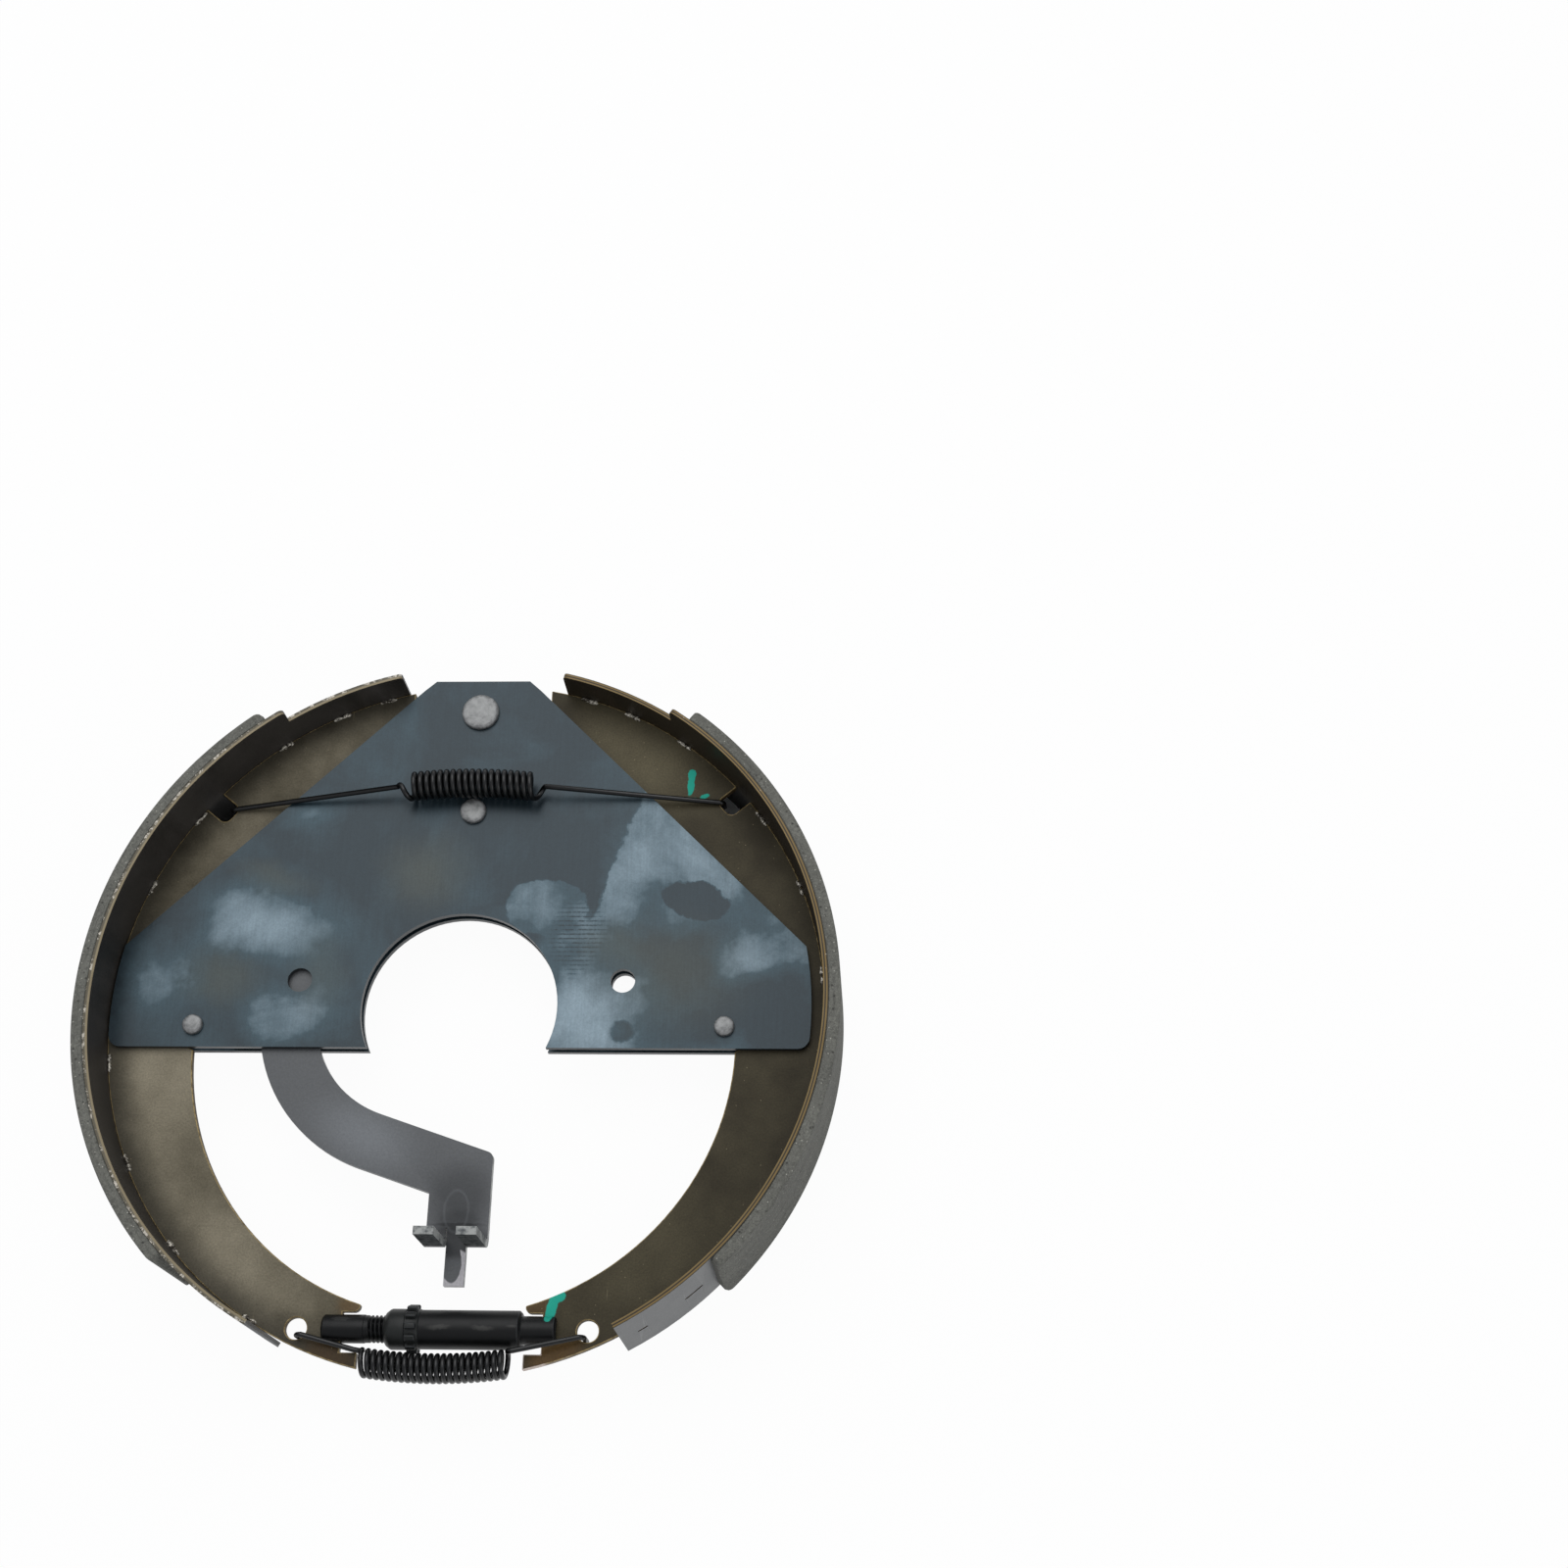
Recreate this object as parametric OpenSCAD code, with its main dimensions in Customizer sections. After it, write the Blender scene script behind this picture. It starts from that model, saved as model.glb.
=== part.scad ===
// Shoe and lever assembly of an electric trailer drum brake, lying on its back.
// Millimetres. +Z runs along the spindle, out of the brake's open front.
// +Y runs from the spindle opening to the anchor rivet.
// The origin is the centre of the spindle opening, in the middle plane of the shoe webs.

/* [Shoes] */
// radius of the friction face of a new lining
lining_r = 151.8; // [150.5:0.1:153.5]
// thickness of the bonded lining
lining_t = 4.8; // [4:0.1:5.4]
// thickness of the curved shoe table
table_t = 2; // [1.6:0.1:2.6]
// width of the shoe, measured along the drum axis
shoe_w = 50.8; // [48:0.2:54]
// width of the narrow table end beside the anchor
narrow_w = 33.2; // [28:0.2:38]
// how far the pair of shoes sits to the right of the plates
shoe_x = 2.2; // [1.2:0.1:3]
// how far the pair of shoes sits below the spindle opening's centre
shoe_drop = 0.8; // [0.2:0.1:1.4]
// angle from the top of the drum circle to the table's anchor end
table_top_a = 13.5; // [13:0.5:17]
// angle from the top to the step where the table becomes wide
step_a = 33.5; // [30:0.5:35]
// angle from the top to the lining's upper end
lining_top_a = 36.6; // [36:0.2:40]
// angle from the top to the lining's lower end
lining_low_a = 135; // [130:1:138]
// angle from the top to the table's bare lower end
table_low_a = 152; // [150:0.5:153]

/* [Webs] */
// thickness of the shoe webs and of the lever
web_t = 3.2; // [2.8:0.1:3.6]
// height of the webs' middle plane above the shoes' back edges
web_rise = 23.7; // [22:0.1:26]
// width of the web beside the spacers, from the table inwards
web_w = 35.7; // [34:0.1:38]
// how far the inner edge's centre lies below the shoe's centre
web_inner_drop = 12.8; // [11:0.1:14]
// radius of the relief around each spacer
relief_r = 9.5; // [9:0.1:11]
// radius of the hole for the adjuster spring's hook
hook_hole_r = 4.2; // [4:0.1:4.8]
// width of the slot for the retractor spring's hook
hook_slot_w = 9; // [8:0.2:10]
// depth of that slot, from the table inwards
hook_slot_depth = 10.6; // [9.6:0.1:11]
// angle from the top to the left hook slot
left_slot_a = 50.9; // [49:0.1:52]
// angle from the top to the right hook slot
right_slot_a = 49.3; // [49:0.1:52]
// distance from the table to the centre of the adjuster spring's hole
hook_hole_rim = 6.5; // [6:0.1:7.2]
// width of the fork's mouth, from prong to prong
fork_w = 15.3; // [14.9:0.1:16]
// depth of the fork
fork_depth = 6.7; // [6:0.1:7.5]
// distance from the shoe's centre line to the prong tips
prong_x = 31.9; // [30.5:0.1:33.5]
// radius of one spot weld's bead
weld_r = 1.5; // [1.2:0.1:1.8]

/* [Plates] */
// thickness of one lever plate
plate_t = 2.7; // [2.2:0.1:3]
// room between the drum circle and the plates' round ends
plate_inset = 10; // [9.8:0.1:12.8]
// height of the plates' straight bottom edge below the origin
plate_low = 16.8; // [15:0.1:18]
// height of the plates' top edge above the anchor rivet
tab_rise = 14.9; // [13:0.1:16]
// half width of the plates' top tab
tab_half = 20; // [18:0.5:22]
// radius of the spindle opening
arch_r = 39.8; // [38:0.1:41]
// half the distance between the two plain holes
plate_hole_x = 65.7; // [64:0.1:67]
// height of the two plain holes above the origin
plate_hole_y = 11.3; // [9:0.1:13]
// radius of the two plain holes
plate_hole_r = 5; // [4.5:0.1:5.5]

/* [Rivets] */
// distance from the drum circle to the anchor rivet
anchor_inset = 21.8; // [20.8:0.1:22.8]
// radius of the anchor rivet's head
anchor_head_r = 7.9; // [7.4:0.1:8.6]
// radius of the bush that the webs bear on
anchor_bush_r = 9.4; // [9:0.1:10]
// distance from the anchor rivet down to the lever's pivot
pivot_gap = 45.2; // [44:0.1:46]
// radius of the pivot rivet's head
pivot_head_r = 5.4; // [5:0.1:5.7]
// radius of the bush that the lever turns on
pivot_bush_r = 6.95; // [6.6:0.05:7.4]
// distance from the drum circle to each outer rivet
spacer_inset = 44.6; // [43.8:0.1:45.3]
// depth of the two outer rivets below the origin
spacer_drop = 7.9; // [7:0.1:8.5]
// radius of the outer rivets' heads
spacer_head_r = 4.1; // [3.8:0.1:4.5]
// height of the rivet heads above the plates
head_h = 2.6; // [2:0.1:2.8]

/* [Lever] */
// width of the lever's arm
arm_w = 22.7; // [20:0.1:24]
// distance from the drum circle to the middle of the arm's bend
arm_inset = 96.8; // [95.8:0.1:97.8]
// angle below level at which the arm runs to its end plate
arm_slope = 18.7; // [17:0.1:20]
// width of the lever's end plate
end_w = 24.2; // [23:0.1:26]
// middle of the lever's end plate, right of the origin
end_x = 5.5; // [4.5:0.1:6.5]
// height of the folded wings' tips above the webs' middle plane
wing_top = 26.3; // [20:0.1:27]
// width of the narrow tongue
tongue_w = 7.8; // [7:0.1:8.2]
// length of the tongue past the folded edge
tongue_len = 14.6; // [12.5:0.1:15.5]
// distance from the tongue's tip to the adjuster's axis
tongue_gap = 16.4; // [15.4:0.1:20]
// width of the nose that pushes the webs apart
nose_w = 12; // [11:0.1:12.4]

/* [Adjuster] */
// distance from the drum circle to the adjuster's axis
adjuster_inset = 24.6; // [24:0.1:24.8]
// radius of the slotted ends
slot_end_r = 5.4; // [5:0.1:5.5]
// radius of the long socket tube
tube_r = 7.4; // [7:0.1:7.5]
// radius of the star wheel's hub
hub_r = 7.7; // [7.2:0.1:8]
// radius over the star wheel's teeth
star_r = 9.3; // [9:0.1:9.4]
// number of teeth on the star wheel
star_teeth = 12; // [10:1:14]
// pitch of the screw's thread
thread_pitch = 1.6; // [1.4:0.1:1.8]
// distance from the left slotted end to the star wheel's hub
hub_start = 24.4; // [23:0.1:25]
// length of the star wheel
hub_len = 13.3; // [12.6:0.1:14]

/* [Springs] */
// diameter of the retractor spring's wire
retractor_wire = 2.2; // [1.8:0.1:2.3]
// outer diameter of the retractor spring's coil
retractor_od = 12.4; // [11.5:0.1:12.8]
// length of the retractor spring's coil
retractor_len = 51; // [50.5:0.1:52.5]
// how far the retractor coil bows upwards
retractor_bow = 1.5; // [1:0.1:2.2]
// diameter of the adjuster spring's wire
adjuster_wire = 2; // [1.7:0.1:2.1]
// outer diameter of the adjuster spring's coil
adjuster_od = 11.6; // [11:0.1:11.8]
// length of the adjuster spring's coil
adjuster_len = 55.4; // [55:0.1:57]
// how far the adjuster coil bows downwards
adjuster_bow = 2; // [1.8:0.1:2.6]

/* [Hidden] */
$fn = 120;

// Running room on each side of the webs and the lever.
side_gap = 0.1;
gap = web_t + 2 * side_gap;
gap_low = -gap / 2;
gap_top = gap / 2;
front_face = gap_top + plate_t;
rear_face = gap_low - plate_t;
web_low = -web_t / 2;
web_top = web_t / 2;
back_z = -web_rise;
table_ro = lining_r - lining_t;
table_ri = table_ro - table_t;
far = 2 * lining_r;
web_inner_r = table_ri - web_w;
anchor_y = lining_r - anchor_inset;
pivot_y = anchor_y - pivot_gap;
spacer_x = lining_r - spacer_inset;
adjuster_drop = lining_r - adjuster_inset;
plate_r = lining_r - plate_inset;
plate_top = anchor_y + tab_rise;
tab_cut = 4.5;
tab_run = 5;
slant_sum = tab_half + tab_run + plate_top - tab_cut;
arm_bend_r = lining_r - arm_inset;
tongue_low = adjuster_drop - tongue_gap;
end_low = tongue_low - tongue_len;
nose_reach = 22.2;
prong_low = adjuster_drop - shoe_drop - 6.2 + fork_w;
fork_x = prong_x + fork_depth;
hook_hole_x = fork_x + 17.5;
hook_hole_y = shoe_drop + sqrt(pow(table_ri - hook_hole_rim, 2) - pow(hook_hole_x, 2));
shank_r = 3.4;
bush_bore_r = shank_r;
anchor_shank_r = 5;
slot_room = 0.35;
thread_r = slot_end_r - 0.2;
screw_start = shoe_x - fork_x - 7.2;
hub_x = screw_start + hub_start;
socket_x = hub_x + hub_len + 0.1;
socket_end = shoe_x + fork_x + 5.6;
shoulder_x = shoe_x + prong_x - 1;
retractor_rise = 8.3;
retractor_room = 1.2;
lead_len = 5.5;
hook_gap = 0.5;
hook_r = table_ri - hook_slot_depth + retractor_wire / 2 + hook_gap;
hook_side = 2;
hook_bend_r = 1.6;
hook_tail = 5;
adjuster_sag = 13.4;
adjuster_lift = 5.4;
adjuster_shift = 1.2;
leg_fold = 2;
leg_reach = 4;
leg_tail = 3;
leg_inset = 1;
leg_sag = 2.9;
leg_lift = 2.4;

// A ring sector about the Z axis, from angle a0 to a1, between two heights.
module ring_sector(ri, ro, a0, a1, z0, z1) {
    rotate([0, 0, a0])
        rotate_extrude(angle = a1 - a0)
            translate([ri, z0])
                square([ro - ri, z1 - z0]);
}

// Places the left shoe's own frame, or its mirror image for the right shoe.
module shoe_frame(side) {
    translate([shoe_x, -shoe_drop, 0])
        mirror([side == "right" ? 1 : 0, 0, 0])
            children();
}

// One shoe table: a wide band with a narrow end beside the anchor.
module shoe_table(side) {
    narrow_low = back_z + (shoe_w - narrow_w) / 2;
    shoe_frame(side) {
        difference() {
            union() {
                ring_sector(table_ri, table_ro, 90 + step_a, 90 + table_low_a,
                    back_z, back_z + shoe_w);
                ring_sector(table_ri, table_ro, 90 + table_top_a, 90 + step_a + 0.5,
                    narrow_low, narrow_low + narrow_w);
            }
            table_slot(90 + 139.2, 9);
            table_slot(90 + 148.4, 4.5);
            table_corner(90 + step_a, back_z, -1, -1, 2.5);
            table_corner(90 + step_a, back_z + shoe_w, -1, 1, 2.5);
            table_corner(90 + table_low_a, back_z, 1, -1, 1.5);
            table_corner(90 + table_low_a, back_z + shoe_w, 1, 1, 1.5);
            table_corner(90 + table_top_a, narrow_low, -1, -1, 2);
            table_corner(90 + table_top_a, narrow_low + narrow_w, -1, 1, 2);
        }
    }
}

// Rounds a table's corner: toward is 1 at its lower end and up is 1 on its front edge.
module table_corner(angle, z, toward, up, r) {
    rotate([0, 0, angle])
        translate([table_ri - 1, 0, z])
            rotate([90, 0, 90])
                linear_extrude(table_t + 2)
                    translate([-toward * r, -up * r])
                        mirror([toward < 0 ? 1 : 0, 0, 0])
                            mirror([0, up < 0 ? 1 : 0, 0])
                                difference() {
                                    square(r + 0.5);
                                    circle(r);
                                }
}

// A shallow slot mark where a web tab was pressed into the table.
module table_slot(angle, length) {
    mark_w = 1.8;
    rotate([0, 0, angle])
        translate([table_ro - 0.5, 0, 0])
            rotate([0, 90, 0])
                linear_extrude(2)
                    long_hole(length, mark_w);
}

// A hole with round ends, long along Y.
module long_hole(length, w) {
    square([w, length - w], center = true);
    for (end = [-1, 1])
        translate([0, end * (length - w) / 2])
            circle(w / 2);
}

// One bonded lining.
module shoe_lining(side) {
    shoe_frame(side)
        ring_sector(table_ro, lining_r, 90 + lining_top_a, 90 + lining_low_a,
            back_z, back_z + shoe_w);
}

// The web's flat shape in the left shoe's frame.
module web_shape(side) {
    anchor_x = side == "right" ? shoe_x : -shoe_x;
    end_gap = 1.5;
    anchor_h = anchor_y + shoe_drop;
    pivot_h = pivot_y + shoe_drop;
    tab_x = 29.2;
    tab_low = anchor_h + 3.6;
    tab_high = anchor_h + 7.4;
    boss_room = 17;
    nose_room = 0.4;
    difference() {
        circle(table_ri, $fn = 240);
        translate([0, -web_inner_drop])
            circle(web_inner_r, $fn = 240);
        // everything past the shoe's two ends
        translate([anchor_x - end_gap, 0])
            square([far, far]);
        translate([-prong_x, -far])
            square([2 * far, far]);
        // the shoulder under the plates' top tab
        translate([anchor_x, 0])
            polygon([
                [-tab_x, far], [-tab_x, tab_low], [4.7 - tab_x, tab_high],
                [nose_w, tab_high], [nose_w, far]
            ]);
        // the seat on the anchor bush and the room for the lever
        translate([anchor_x, anchor_h])
            circle(anchor_bush_r + 0.1);
        translate([anchor_x - nose_w / 2 - nose_room, pivot_h])
            square([nose_w + boss_room, nose_reach + nose_w / 2 + 1]);
        translate([anchor_x, pivot_h])
            circle(boss_room);
        // the relief around the spacer
        translate([-spacer_x, shoe_drop - spacer_drop])
            circle(relief_r);
        // the slot for the retractor spring's hook
        rotate([0, 0, 90 + (side == "right" ? right_slot_a : left_slot_a)])
            hook_slot();
        // the hole for the adjuster spring's hook
        translate([-hook_hole_x, shoe_drop - hook_hole_y])
            circle(hook_hole_r);
        // the fork that takes the adjuster's slotted end
        fork_mouth();
        prong_corner(-prong_x, -prong_low - 9.3, -1, 2.2);
        prong_corner(-prong_x, fork_w - prong_low, 1, 2.4);
    }
}

// A slot open at the table, with two rounded inner corners, along X.
module hook_slot() {
    r = 3;
    half = hook_slot_w / 2;
    translate([table_ri - hook_slot_depth, 0]) {
        for (edge = [-1, 1])
            translate([r, edge * (half - r)])
                circle(r);
        translate([0, r - half])
            square([2 * hook_slot_depth, 2 * (half - r)]);
        translate([r, -half])
            square([2 * hook_slot_depth, 2 * half]);
    }
}

// The fork's mouth, with small rounded inner corners.
module fork_mouth() {
    r = 1.5;
    translate([-fork_x, -prong_low])
        square([20, fork_w]);
    translate([-fork_x, -prong_low])
        difference() {
            square([r, fork_w]);
            translate([r, r])
                circle(r);
            translate([r, fork_w - r])
                circle(r);
            translate([0, r])
                square([r, fork_w - 2 * r]);
        }
}

// Rounds one corner of a prong's tip: grow is 1 for its lower corner, -1 for its upper one.
module prong_corner(x, y, grow, r) {
    mirror([0, grow > 0 ? 0 : 1, 0])
        translate([x - r, grow > 0 ? y : -y])
            difference() {
                translate([0, -0.5])
                    square([r + 1, r + 0.5]);
                translate([0, r])
                    circle(r);
            }
}

// One web, with the beads of its spot welds along the table.
module shoe_web(side) {
    both_sides = [17.5, 25.5, 36, 54.5, 68.5, 99, 116, 132, 149];
    weld_angles = side == "right" ? concat(both_sides, [84]) : both_sides;
    shoe_frame(side) {
        translate([0, 0, web_low])
            linear_extrude(web_t)
                web_shape(side);
        intersection() {
            translate([0, 0, web_top - 0.2])
                cylinder(r = table_ri, h = 5, $fn = 240);
            for (a = weld_angles)
                rotate([0, 0, 90 + a])
                    translate([table_ri - 0.3, 0, web_top - 0.2])
                        sphere(weld_r, $fn = 24);
        }
    }
}

// The flat shape that both lever plates share.
module plate_shape() {
    corner_r = 5;
    difference() {
        intersection() {
            union() {
                circle(plate_r, $fn = 240);
                translate([-plate_r / 2, 0])
                    square([plate_r, plate_top]);
            }
            polygon([
                [-plate_r, -plate_low], [plate_r, -plate_low],
                [plate_r, slant_sum - plate_r],
                [tab_half + tab_run, plate_top - tab_cut], [tab_half, plate_top],
                [-tab_half, plate_top], [-tab_half - tab_run, plate_top - tab_cut],
                [-plate_r, slant_sum - plate_r]
            ]);
            plate_corners(corner_r);
        }
        circle(arch_r);
        for (side = [-1, 1])
            translate([side * plate_hole_x, plate_hole_y])
                circle(plate_hole_r);
    }
}

// Everything that the plates' two rounded bottom corners leave.
module plate_corners(r) {
    reach = sqrt(pow(plate_r - r, 2) - pow(plate_low - r, 2));
    translate([-plate_r, r - plate_low])
        square([2 * plate_r, 2 * plate_r]);
    translate([-reach, -plate_low])
        square([2 * reach, 2 * plate_r]);
    for (side = [-1, 1])
        translate([side * reach, r - plate_low])
            circle(r);
}

// One lever plate, from its lower face up, with the rivets' holes.
module lever_plate(z) {
    translate([0, 0, z])
        linear_extrude(plate_t)
            difference() {
                plate_shape();
                translate([0, anchor_y])
                    circle(anchor_shank_r);
                translate([0, pivot_y])
                    circle(shank_r);
                for (side = [-1, 1])
                    translate([side * spacer_x, -spacer_drop])
                        circle(shank_r);
            }
}

// A headed rivet through both plates.
module rivet(shank, head) {
    edge = 0.5;
    reach = front_face + head_h;
    start = rear_face - head_h;
    rotate_extrude()
        polygon([
            [0, start], [head - edge, start], [head, start + edge], [head, rear_face],
            [shank, rear_face], [shank, front_face],
            [head, front_face], [head, reach - edge], [head - edge, reach], [0, reach]
        ]);
}

// A plain sleeve that keeps the plates apart.
module sleeve(outer, inner) {
    translate([0, 0, gap_low])
        difference() {
            cylinder(r = outer, h = gap);
            translate([0, 0, -1])
                cylinder(r = inner, h = gap + 2);
        }
}

// The height of the sloping arm's middle line at x.
function arm_height(x, low) = low[1] - (x - low[0]) * tan(arm_slope);

// The lever's flat shape: nose, pivot boss, bent arm and end plate.
module lever_shape() {
    bend = [-14.5, -2];
    arm_a = 132;
    low_a = 270 - arm_slope;
    boss_r = 11;
    top = bend + arm_bend_r * [cos(arm_a), sin(arm_a)];
    low = bend + arm_bend_r * [cos(low_a), sin(low_a)];
    rise = atan2(pivot_y - top[1], -top[0]);
    run = norm([0, pivot_y] - top);
    left_x = end_x - end_w / 2;
    right_x = end_x + end_w / 2;
    fold_y = 8 - end_low;
    difference() {
        union() {
            translate([0, pivot_y])
                circle(boss_r);
            translate([-nose_w / 2, pivot_y])
                square([nose_w, nose_reach]);
            translate([0, pivot_y + nose_reach])
                circle(nose_w / 2);
            translate(top)
                rotate(rise)
                    translate([0, -arm_w / 2 + 0.4])
                        square([run, arm_w - 0.8]);
            arm_bend(bend, arm_a, low_a);
            intersection() {
                translate(low)
                    rotate(-arm_slope)
                        translate([-1, -arm_w / 2])
                            square([(right_x - low[0]) / cos(arm_slope) + arm_w, arm_w]);
                translate([right_x - far, -far])
                    square([far, far]);
            }
            polygon([
                [left_x, fold_y], [right_x, fold_y],
                [right_x, arm_height(right_x, low)], [left_x, arm_height(left_x, low)]
            ]);
        }
        translate([0, pivot_y])
            circle(pivot_bush_r + 0.05);
        end_corner(right_x, low);
    }
}

// Rounds the end plate's upper corner, where the arm's upper edge meets its side.
module end_corner(right_x, low) {
    r = 3;
    x = right_x - r;
    across = 90 - arm_slope;
    translate([x, arm_height(x, low) + (arm_w / 2 - r) / cos(arm_slope)])
        difference() {
            polygon([[0, 0], [3 * r, 0], [3 * r, 3 * r], 3 * r * [cos(across), sin(across)]]);
            circle(r);
        }
}

// The curved stretch of the arm, between two angles about its bend's centre.
module arm_bend(bend, a0, a1) {
    out = 4 * arm_bend_r;
    translate(bend)
        intersection() {
            difference() {
                circle(arm_bend_r + arm_w / 2);
                circle(arm_bend_r - arm_w / 2);
            }
            polygon([
                [0, 0],
                out * [cos(a0), sin(a0)],
                out * [cos((a0 + a1) / 2 - 30), sin((a0 + a1) / 2 - 30)],
                out * [cos((a0 + a1) / 2 + 30), sin((a0 + a1) / 2 + 30)],
                out * [cos(a1), sin(a1)]
            ]);
        }
}

// A wing folded up from the end plate's lower edge, as a profile swept along X.
module lever_wing(x) {
    wing_w = (end_w - tongue_w) / 2 - 0.4;
    fold_r = 4.6;
    translate([x, 0, 0])
        rotate([90, 0, 90])
            linear_extrude(wing_w) {
                translate([fold_r - end_low, web_low])
                    square([8.5 - fold_r, web_t]);
                translate([-end_low, web_low + fold_r])
                    square([web_t, wing_top - web_low - fold_r]);
                translate([fold_r - end_low, web_low + fold_r])
                    intersection() {
                        difference() {
                            circle(fold_r);
                            circle(fold_r - web_t);
                        }
                        translate([-fold_r, -fold_r])
                            square(fold_r);
                    }
            }
}

// The slot cut across a round end piece, for the web.
module web_slot(x0, x1) {
    translate([x0, -adjuster_drop - 20, web_low - slot_room])
        cube([x1 - x0, 40, web_t + 2 * slot_room]);
}

// Turns a shape made about the Z axis onto the adjuster's axis.
module on_adjuster() {
    translate([0, -adjuster_drop, 0])
        rotate([0, 90, 0])
            children();
}

// The screw's profile: a plain slotted end, a short cone and a run of thread.
module screw_profile() {
    plain_end = screw_start + 16;
    thread_start = plain_end + 2.4;
    turns = floor((hub_x + hub_len + 14 - thread_start) / thread_pitch);
    root_r = thread_r - 0.9;
    points = [for (i = [0 : turns - 1]) each [
        [thread_r, thread_start + i * thread_pitch],
        [thread_r, thread_start + (i + 0.3) * thread_pitch],
        [root_r, thread_start + (i + 0.65) * thread_pitch]
    ]];
    thread_end = thread_start + turns * thread_pitch;
    polygon(concat(
        [[0, screw_start], [slot_end_r - 0.8, screw_start], [slot_end_r, screw_start + 0.8],
            [slot_end_r, plain_end]],
        points,
        [[thread_r, thread_end], [root_r, thread_end + 1], [0, thread_end + 1]]
    ));
}

// The star wheel's hub and teeth, made along the adjuster's axis.
module star_body() {
    teeth_start = hub_x + 8.4;
    teeth_len = 4.2;
    tooth_w = 2.5;
    rotate_extrude()
        polygon([
            [0, hub_x], [hub_r - 2, hub_x], [hub_r, hub_x + 2.2],
            [hub_r, hub_x + hub_len], [0, hub_x + hub_len]
        ]);
    translate([0, 0, teeth_start])
        linear_extrude(teeth_len)
            intersection() {
                circle(star_r);
                for (i = [0 : star_teeth - 1])
                    rotate(i * 360 / star_teeth)
                        translate([-tooth_w / 2, 0])
                            square([tooth_w, star_r + 1]);
            }
}

// A point on a bowed coil whose axis runs along X: u is 0 to 1 along the coil, a the turn angle.
function coil_point(u, a, x0, len, y0, z0, r, bow) = [
    x0 + u * len,
    y0 + bow * (1 - pow(2 * u - 1, 2)) + r * cos(a),
    z0 + r * sin(a)
];

// A unit vector.
function unit(v) = v / norm(v);

// The tangent of a path at point i.
function tangent(path, i) =
    unit(path[min(i + 1, len(path) - 1)] - path[max(i - 1, 0)]);

// A side vector carried along the path without twist.
function carried(side, along) = unit(side - (side * along) * along);

// A round wire swept along a path of points.
module wire(path, r, start_side) {
    sides = 8;
    n = len(path);
    normals = [
        for (i = 0, s = carried(start_side, tangent(path, 0)); i < n;
            i = i + 1, s = i < n ? carried(s, tangent(path, i)) : s) s
    ];
    points = [
        for (i = [0 : n - 1]) for (k = [0 : sides - 1])
            let (a = 360 * k / sides, t = tangent(path, i))
                path[i] + r * (cos(a) * normals[i] + sin(a) * cross(t, normals[i]))
    ];
    walls = [
        for (i = [0 : n - 2]) for (k = [0 : sides - 1])
            let (k2 = (k + 1) % sides)
                each [
                    [i * sides + k, (i + 1) * sides + k, (i + 1) * sides + k2],
                    [i * sides + k, (i + 1) * sides + k2, i * sides + k2]
                ]
    ];
    caps = [
        [for (k = [0 : sides - 1]) k],
        [for (k = [0 : sides - 1]) (n - 1) * sides + sides - 1 - k]
    ];
    polyhedron(points, concat(walls, caps), convexity = 20);
}

// A hook that reaches outwards along dir, drops through the web and turns back behind it.
function slot_hook(hook, dir, top_z, low_z, r) = concat(
    [for (a = [0 : 22.5 : 90]) [hook[0], hook[1], 0]
        + (sin(a) - 1) * r * [dir[0], dir[1], 0] + [0, 0, top_z - r + r * cos(a)]],
    [for (a = [0 : 22.5 : 90]) [hook[0], hook[1], 0]
        + (cos(a) - 1) * r * [dir[0], dir[1], 0] + [0, 0, low_z + r - r * sin(a)]],
    [[hook[0], hook[1], 0] - hook_tail * [dir[0], dir[1], 0] + [0, 0, low_z]]
);

// Where the retractor spring's hook sits, in the slot's corner nearer the anchor.
function hook_place(slot_a, way) =
    let (a = slot_a - atan2(hook_side, hook_r), r = norm([hook_r, hook_side]))
        [shoe_x + way * r * sin(a), r * cos(a) - shoe_drop];

// The retractor spring's path from its left hook to its right one.
function retractor_path() =
    let (
        turns = 19,
        steps = 14,
        wr = retractor_wire / 2,
        r = retractor_od / 2 - wr,
        y0 = pivot_y + retractor_rise,
        z0 = front_face + retractor_od / 2 + retractor_room,
        x0 = -retractor_len / 2,
        left = hook_place(left_slot_a, -1),
        right = hook_place(right_slot_a, 1),
        left_axis = [x0 - lead_len, y0, z0],
        right_axis = [-x0 + lead_len, y0, z0],
        left_dir = unit([left[0] - left_axis[0], left[1] - left_axis[1]]),
        right_dir = unit([right[0] - right_axis[0], right[1] - right_axis[1]]),
        top_z = web_top + wr + 0.2,
        low_z = web_low - wr - 0.3,
        left_hook = slot_hook(left, left_dir, top_z, low_z, hook_bend_r),
        right_hook = slot_hook(right, right_dir, top_z, low_z, hook_bend_r),
        coil = [for (i = [0 : turns * steps])
            let (u = i / (turns * steps))
                coil_point(u, 180 + 360 * i / steps, x0, retractor_len, y0, z0, r, retractor_bow)],
        lead_in = [for (i = [0 : 6]) let (s = i / 7)
            [x0 - lead_len * (1 - s), y0 + r * sin(90 * s) * cos(60 + 120 * s),
                z0 + r * sin(90 * s) * sin(60 + 120 * s)]],
        lead_out = [for (i = [6 : -1 : 0]) let (s = i / 7)
            [-x0 + lead_len * (1 - s), y0 + r * sin(90 * s) * cos(300 - 120 * s),
                z0 + r * sin(90 * s) * sin(300 - 120 * s)]]
    )
    concat(
        [for (i = [len(left_hook) - 1 : -1 : 0]) left_hook[i]],
        lead_in, coil, lead_out, right_hook
    );

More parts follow.
